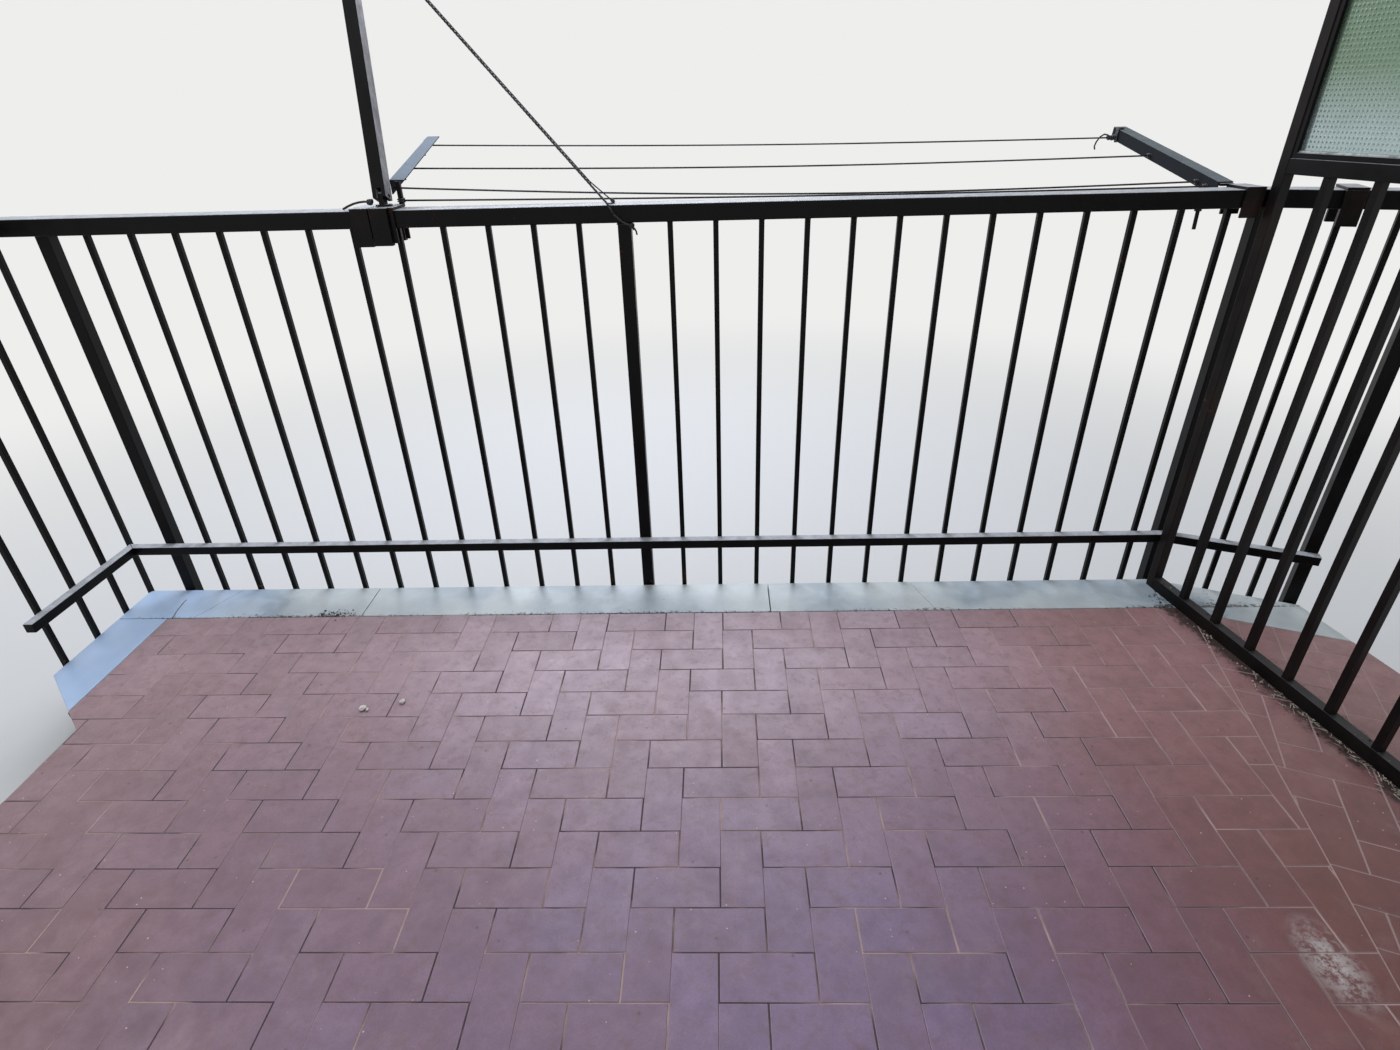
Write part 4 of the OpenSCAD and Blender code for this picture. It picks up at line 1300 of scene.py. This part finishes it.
class BALCONY_OT_rack(bpy.types.Operator):
    """Finish the clothes rack: its arms and clamps, its lines with their knots, and the bolts at its tip"""

    bl_idname = "balcony.rack"
    bl_label = "Finish Clothes Rack"

    def execute(self, context):
        edge = context.scene.balcony_iron.edge / MM
        rng = random.Random(8)
        rounded("rack_arm_left", edge * 0.5, "grey_paint", "chalked_paint")
        rounded("rack_arm_right", edge * 0.5, "grey_paint", "chalked_paint_dull")
        rounded("rack_clamp_left", edge * 0.5, "black_iron", "iron_enamel_clamp")
        rounded("rack_clamp_right", edge * 0.7, "black_iron", "iron_enamel_rusty")
        # The lines hang a little between the arms. The last one is tied to the left clamp's upright.
        runs = [
            (on_arm(RACK_LEFT, a) + HOLE_LEFT, on_arm(RACK_RIGHT, b) + HOLE_RIGHT) for a, b in LINE_SHARES
        ]
        runs.append((Vector((-710, 1569, 1113)), on_arm(RACK_RIGHT, LAST_SHARE) + HOLE_RIGHT))
        for number, ((a, b), sag) in enumerate(zip(runs, (8, 10, 19, 5)), 1):
            line = bmesh.new()
            hung = [a.lerp(b, i / 20) - Vector((0, 0, sag * math.sin(math.pi * i / 20))) for i in range(21)]
            tube(line, hung, 2, 8)
            piece = finish("hung_line_%d" % number, line, "washing_line", "coated_line")
            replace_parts(piece, "rack_line_%d" % number)
        # Lines run through the legs and are stopped by knots behind them.
        ends = bmesh.new()
        for number, (a, b) in enumerate(runs):
            if number < 2:
                knot(ends, a + Vector((-6.5, 0, 0)), (1, 0, 0), 1.9, 3.6, rng)
                tube(ends, steps(a, (-6, 0, 0), (-12, -3, -3), (-15, -5, -14), (-14, -6, -26)), 1.8, 6)
            if number:
                knot(ends, b + Vector((-4, 0, 0)), (1, 0, 0), 1.9, 4.0, rng)
        # The last line goes round the left clamp's upright.
        for shift in (-3, 1):
            wrap_square(ends, (-715, 1569, RAIL_Z + 13 + shift), (1, 0, 0), (0, 1, 0), 5, 3.0, 1.1, 1.6)
        # The outer line is wound round the right tip, hitched in front of it, and leaves a curled tail.
        tip = runs[0][1]
        for shift in (-4, 0.5, 5):
            wound = steps(
                tip + Vector((0, shift, 0)),
                (-2.2, 0, -12),
                (-3, 0, 0),
                (-2.5, 1, 12),
                (-2, 1, 21.5),
                (2, 1, 22.6),
                (12, 2, 22.6),
            )
            tube(ends, wound, 2.1, 7)
        knot(ends, tip + Vector((-15, 0, 0)), (1, 0, 0.1), 2.3, 5.2, rng)
        knot(ends, tip + Vector((-24, 0, 0)), (1, 0.2, -0.1), 2.2, 4.2, rng)
        tail = steps(
            tip,
            (-20, -1, 1),
            (-30, -4, 7),
            (-41, -7, 9),
            (-52, -9, 3),
            (-60, -10, -9),
            (-63, -10, -20),
            (-60, -9, -28),
        )
        tube(ends, tail, 2.1, 7)
        finish("line_knots", ends, "washing_line", "coated_line")

        hardware = bmesh.new()
        hex_bolt(hardware, on_arm(RACK_LEFT, 0.96) + Vector((-17, 0, -10)), (-1, -0.15, 0), 11, 6)
        hex_bolt(hardware, on_arm(RACK_LEFT, 0.985) + Vector((-13.4, 0, -11)), (1, 0.15, 0), 11, 8)
        finish("rack_bolts", hardware, "black_iron", "zinc_steel", smooth=False)
        return {"FINISHED"}


class BALCONY_OT_far_clamp(bpy.types.Operator):
    """Set the rusty clamp that grips the top rail past the divider"""

    bl_idname = "balcony.far_clamp"
    bl_label = "Set Far Clamp"

    def execute(self, context):
        # A cap over the rail and a jaw on each side of it: how far out, at what height, how high and deep.
        turn = Matrix.Rotation(-BEND, 4, "Z")
        saddle = bmesh.new()
        for shift, z, high, deep in ((0, RAIL_Z + 3, 6, 88), (38.5, 1065, 70, 11), (-38.5, 1065, 70, 11)):
            stand = Matrix.Translation(stub_point(-21, 146, z) + STUB_OUT * shift * MM) @ turn
            stand = stand @ Matrix.Diagonal((38 * MM, deep * MM, high * MM, 1))
            block = bmesh.ops.create_cube(saddle, size=1.0, matrix=stand)["verts"]
            round_edges(saddle, edges_of(block), 1.2)
        finish("far_clamp", saddle, "black_iron", "iron_enamel_rusty", weighted=True)
        return {"FINISHED"}


class BALCONY_OT_crumbs(bpy.types.Operator):
    """Scatter mortar crumbs, soil and splinters at the divider's foot, and lumps of plaster on the floor"""

    bl_idname = "balcony.crumbs"
    bl_label = "Scatter Crumbs"

    def execute(self, context):
        rng = random.Random(21)
        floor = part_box("tile_field")[1].z / MM
        pale = bmesh.new()
        dark = bmesh.new()
        # Most crumbs are small and lie close to the foot.
        for count, target, least, most in ((150, dark, 0.8, 3.2), (90, pale, 0.7, 3.0)):
            for _ in range(count):
                along = 40 + rng.random() ** 1.1 * 1050
                across = -13 - rng.expovariate(1 / 12)
                size = least + (most - least) * rng.random() ** 2.2
                at = divider_point(along, across, floor + size * 0.35) / MM
                lump(target, at, size, rng)
        # Pale splinters swept against the divider's foot.
        for _ in range(110):
            at = divider_point(
                rng.choice((500, 680)) + rng.gauss(0, 55), -15 - rng.expovariate(1 / 8), floor + 0.9
            )
            turn = Matrix.Rotation(math.radians(-80) + rng.gauss(0, 0.5), 4, "Z")
            size = Matrix.Diagonal((rng.uniform(5, 17) * MM, rng.uniform(0.7, 1.5) * MM, 0.7 * MM, 1.0))
            bmesh.ops.create_cube(pale, size=1.0, matrix=Matrix.Translation(at) @ turn @ size)
        # Soil heaped on the inner edge of the marble.
        for _ in range(70):
            at = (-1040 + rng.gauss(0, 26), 1384 + rng.gauss(0, 9), floor + 0.6)
            lump(dark, at, 0.8 + 2.4 * rng.random() ** 2, rng)
        # Bits fallen on the bottom rail of the divider.
        for _ in range(36):
            size = 0.8 + 2.2 * rng.random() ** 2
            at = divider_point(30 + 1100 * rng.random(), rng.uniform(-9, 9), floor + 32 + size * 0.35) / MM
            lump(pale if rng.random() < 0.5 else dark, at, size, rng)
        finish("soil_crumbs", dark, "mortar", "dry_soil", smooth=False)
        finish("mortar_crumbs", pale, "mortar", "lime_crumb", smooth=False)
        white = bmesh.new()
        lump(white, (-822, 1012, floor + 3.2), 9.5, rng, 0.12, 0.42, 2)
        lump(white, (-810, 1008, floor + 2.2), 4.4, rng, 0.2, 0.6, 1)
        lump(white, (-738, 1034, floor + 2.9), 7.5, rng, 0.14, 0.45, 2)
        finish("plaster_lumps", white, "mortar", "plaster_flake", smooth=False)
        return {"FINISHED"}


class BALCONY_OT_stage(bpy.types.Operator):
    """Set the pale floor, the soft light and the camera in the doorway"""

    bl_idname = "balcony.stage"
    bl_label = "Set Stage"

    def execute(self, context):
        scene = context.scene
        # The floor lies half a millimetre under the lowest point of the balcony.
        low = Matrix.Translation((0, 0.8, -0.0705))
        bm = bmesh.new()
        bmesh.ops.create_circle(bm, cap_ends=True, segments=96, radius=60.0, matrix=low)
        mesh = bpy.data.meshes.new("studio_ground")
        bm.to_mesh(mesh)
        bm.free()
        ground = bpy.data.objects.new("studio_ground", mesh)
        mesh.materials.append(material("studio_floor"))
        scene.collection.objects.link(ground)

        world = bpy.data.worlds.new("studio_light")
        scene.world = world
        world.use_nodes = True
        tree = world.node_tree
        tree.nodes.clear()
        path = put(tree, "LightPath")
        seen = put(
            tree,
            "Math",
            {0: path.outputs["Is Camera Ray"], 1: path.outputs["Is Glossy Ray"]},
            operation="MAXIMUM",
        )
        seen = put(tree, "Math", {0: seen, 1: path.outputs["Is Transmission Ray"]}, operation="MAXIMUM")
        soft = put(tree, "Background", {"Color": tint("#f3f6fb"), "Strength": 0.5})
        pale = put(tree, "Background", {"Color": tint("#eeeeed"), "Strength": 1.0})
        both = put(tree, "MixShader", {0: seen, 1: soft, 2: pale})
        put(tree, "OutputWorld", {"Surface": both})

        for name, place, aim, size, power in (
            ("sky_front", (-0.6, 4.6, 3.4), (0.1, 0.8, 0.1), 3.2, 78.0),
            ("sky_left", (-4.2, 2.2, 4.4), (0.0, 0.8, 0.1), 2.8, 30.0),
        ):
            lamp = bpy.data.lights.new(name, "AREA")
            lamp.energy = power
            lamp.size = size
            lamp.spread = 2.0
            lamp.color = tint("#eef3ff")[:3]
            held = bpy.data.objects.new(name, lamp)
            held.location = place
            held.rotation_euler = (Vector(aim) - Vector(place)).to_track_quat("-Z", "Y").to_euler()
            scene.collection.objects.link(held)

        eye = bpy.data.cameras.new("doorway_view")
        eye.sensor_width = 36.0
        eye.sensor_fit = "HORIZONTAL"
        eye.lens = 19.31
        eye.clip_start = 0.02
        camera = bpy.data.objects.new("doorway_view", eye)
        scene.collection.objects.link(camera)
        # The photo's viewpoint: the camera's own directions and its place.
        right = Vector((0.99961, 0.01454, -0.02374))
        up = Vector((0.01368, 0.4861, 0.8738))
        back = Vector((0.02424, -0.87378, 0.48571))
        turn = Matrix((right, up, back)).transposed().to_4x4()
        camera.matrix_world = Matrix.Translation((-0.0055, -0.2705, 1.2814)) @ turn
        scene.camera = camera
        scene.view_settings.view_transform = "Standard"
        return {"FINISHED"}


class BALCONY_PT_panel(bpy.types.Panel):
    """Steps and settings of the balcony"""

    bl_label = "Iron Balcony"
    bl_idname = "BALCONY_PT_panel"
    bl_space_type = "VIEW_3D"
    bl_region_type = "UI"
    bl_category = "Balcony"

    def draw(self, context):
        layout = self.layout
        for each in STEPS:
            layout.operator(each.bl_idname)
        for group, names in (
            (context.scene.balcony_floor, ("step", "joint", "arris", "depth")),
            (context.scene.balcony_iron, ("paint", "rust", "dust", "edge")),
            (context.scene.balcony_glass, ("colour", "grid")),
        ):
            box = layout.box()
            for name in names:
                box.prop(group, name)


STEPS = (
    BALCONY_OT_stage,
    BALCONY_OT_tiles,
    BALCONY_OT_stone,
    BALCONY_OT_railing,
    BALCONY_OT_fixings,
    BALCONY_OT_divider,
    BALCONY_OT_awning,
    BALCONY_OT_rack,
    BALCONY_OT_far_clamp,
    BALCONY_OT_crumbs,
)
SETTINGS = (
    ("balcony_floor", BALCONY_PG_floor),
    ("balcony_iron", BALCONY_PG_iron),
    ("balcony_glass", BALCONY_PG_glass),
)


def register():
    for _, group in SETTINGS:
        bpy.utils.register_class(group)
    for each in (*STEPS, BALCONY_PT_panel):
        bpy.utils.register_class(each)
    for name, group in SETTINGS:
        setattr(bpy.types.Scene, name, PointerProperty(type=group))


def unregister():
    for name, _ in reversed(SETTINGS):
        delattr(bpy.types.Scene, name)
    for each in reversed((*STEPS, BALCONY_PT_panel)):
        bpy.utils.unregister_class(each)
    for _, group in reversed(SETTINGS):
        bpy.utils.unregister_class(group)


def main():
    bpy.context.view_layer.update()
    register()
    bpy.ops.balcony.stage()
    bpy.ops.balcony.tiles()
    bpy.ops.balcony.stone()
    bpy.ops.balcony.railing()
    bpy.ops.balcony.fixings()
    bpy.ops.balcony.divider()
    bpy.ops.balcony.awning()
    bpy.ops.balcony.rack()
    bpy.ops.balcony.far_clamp()
    bpy.ops.balcony.crumbs()


if __name__ == "__main__":
    main()
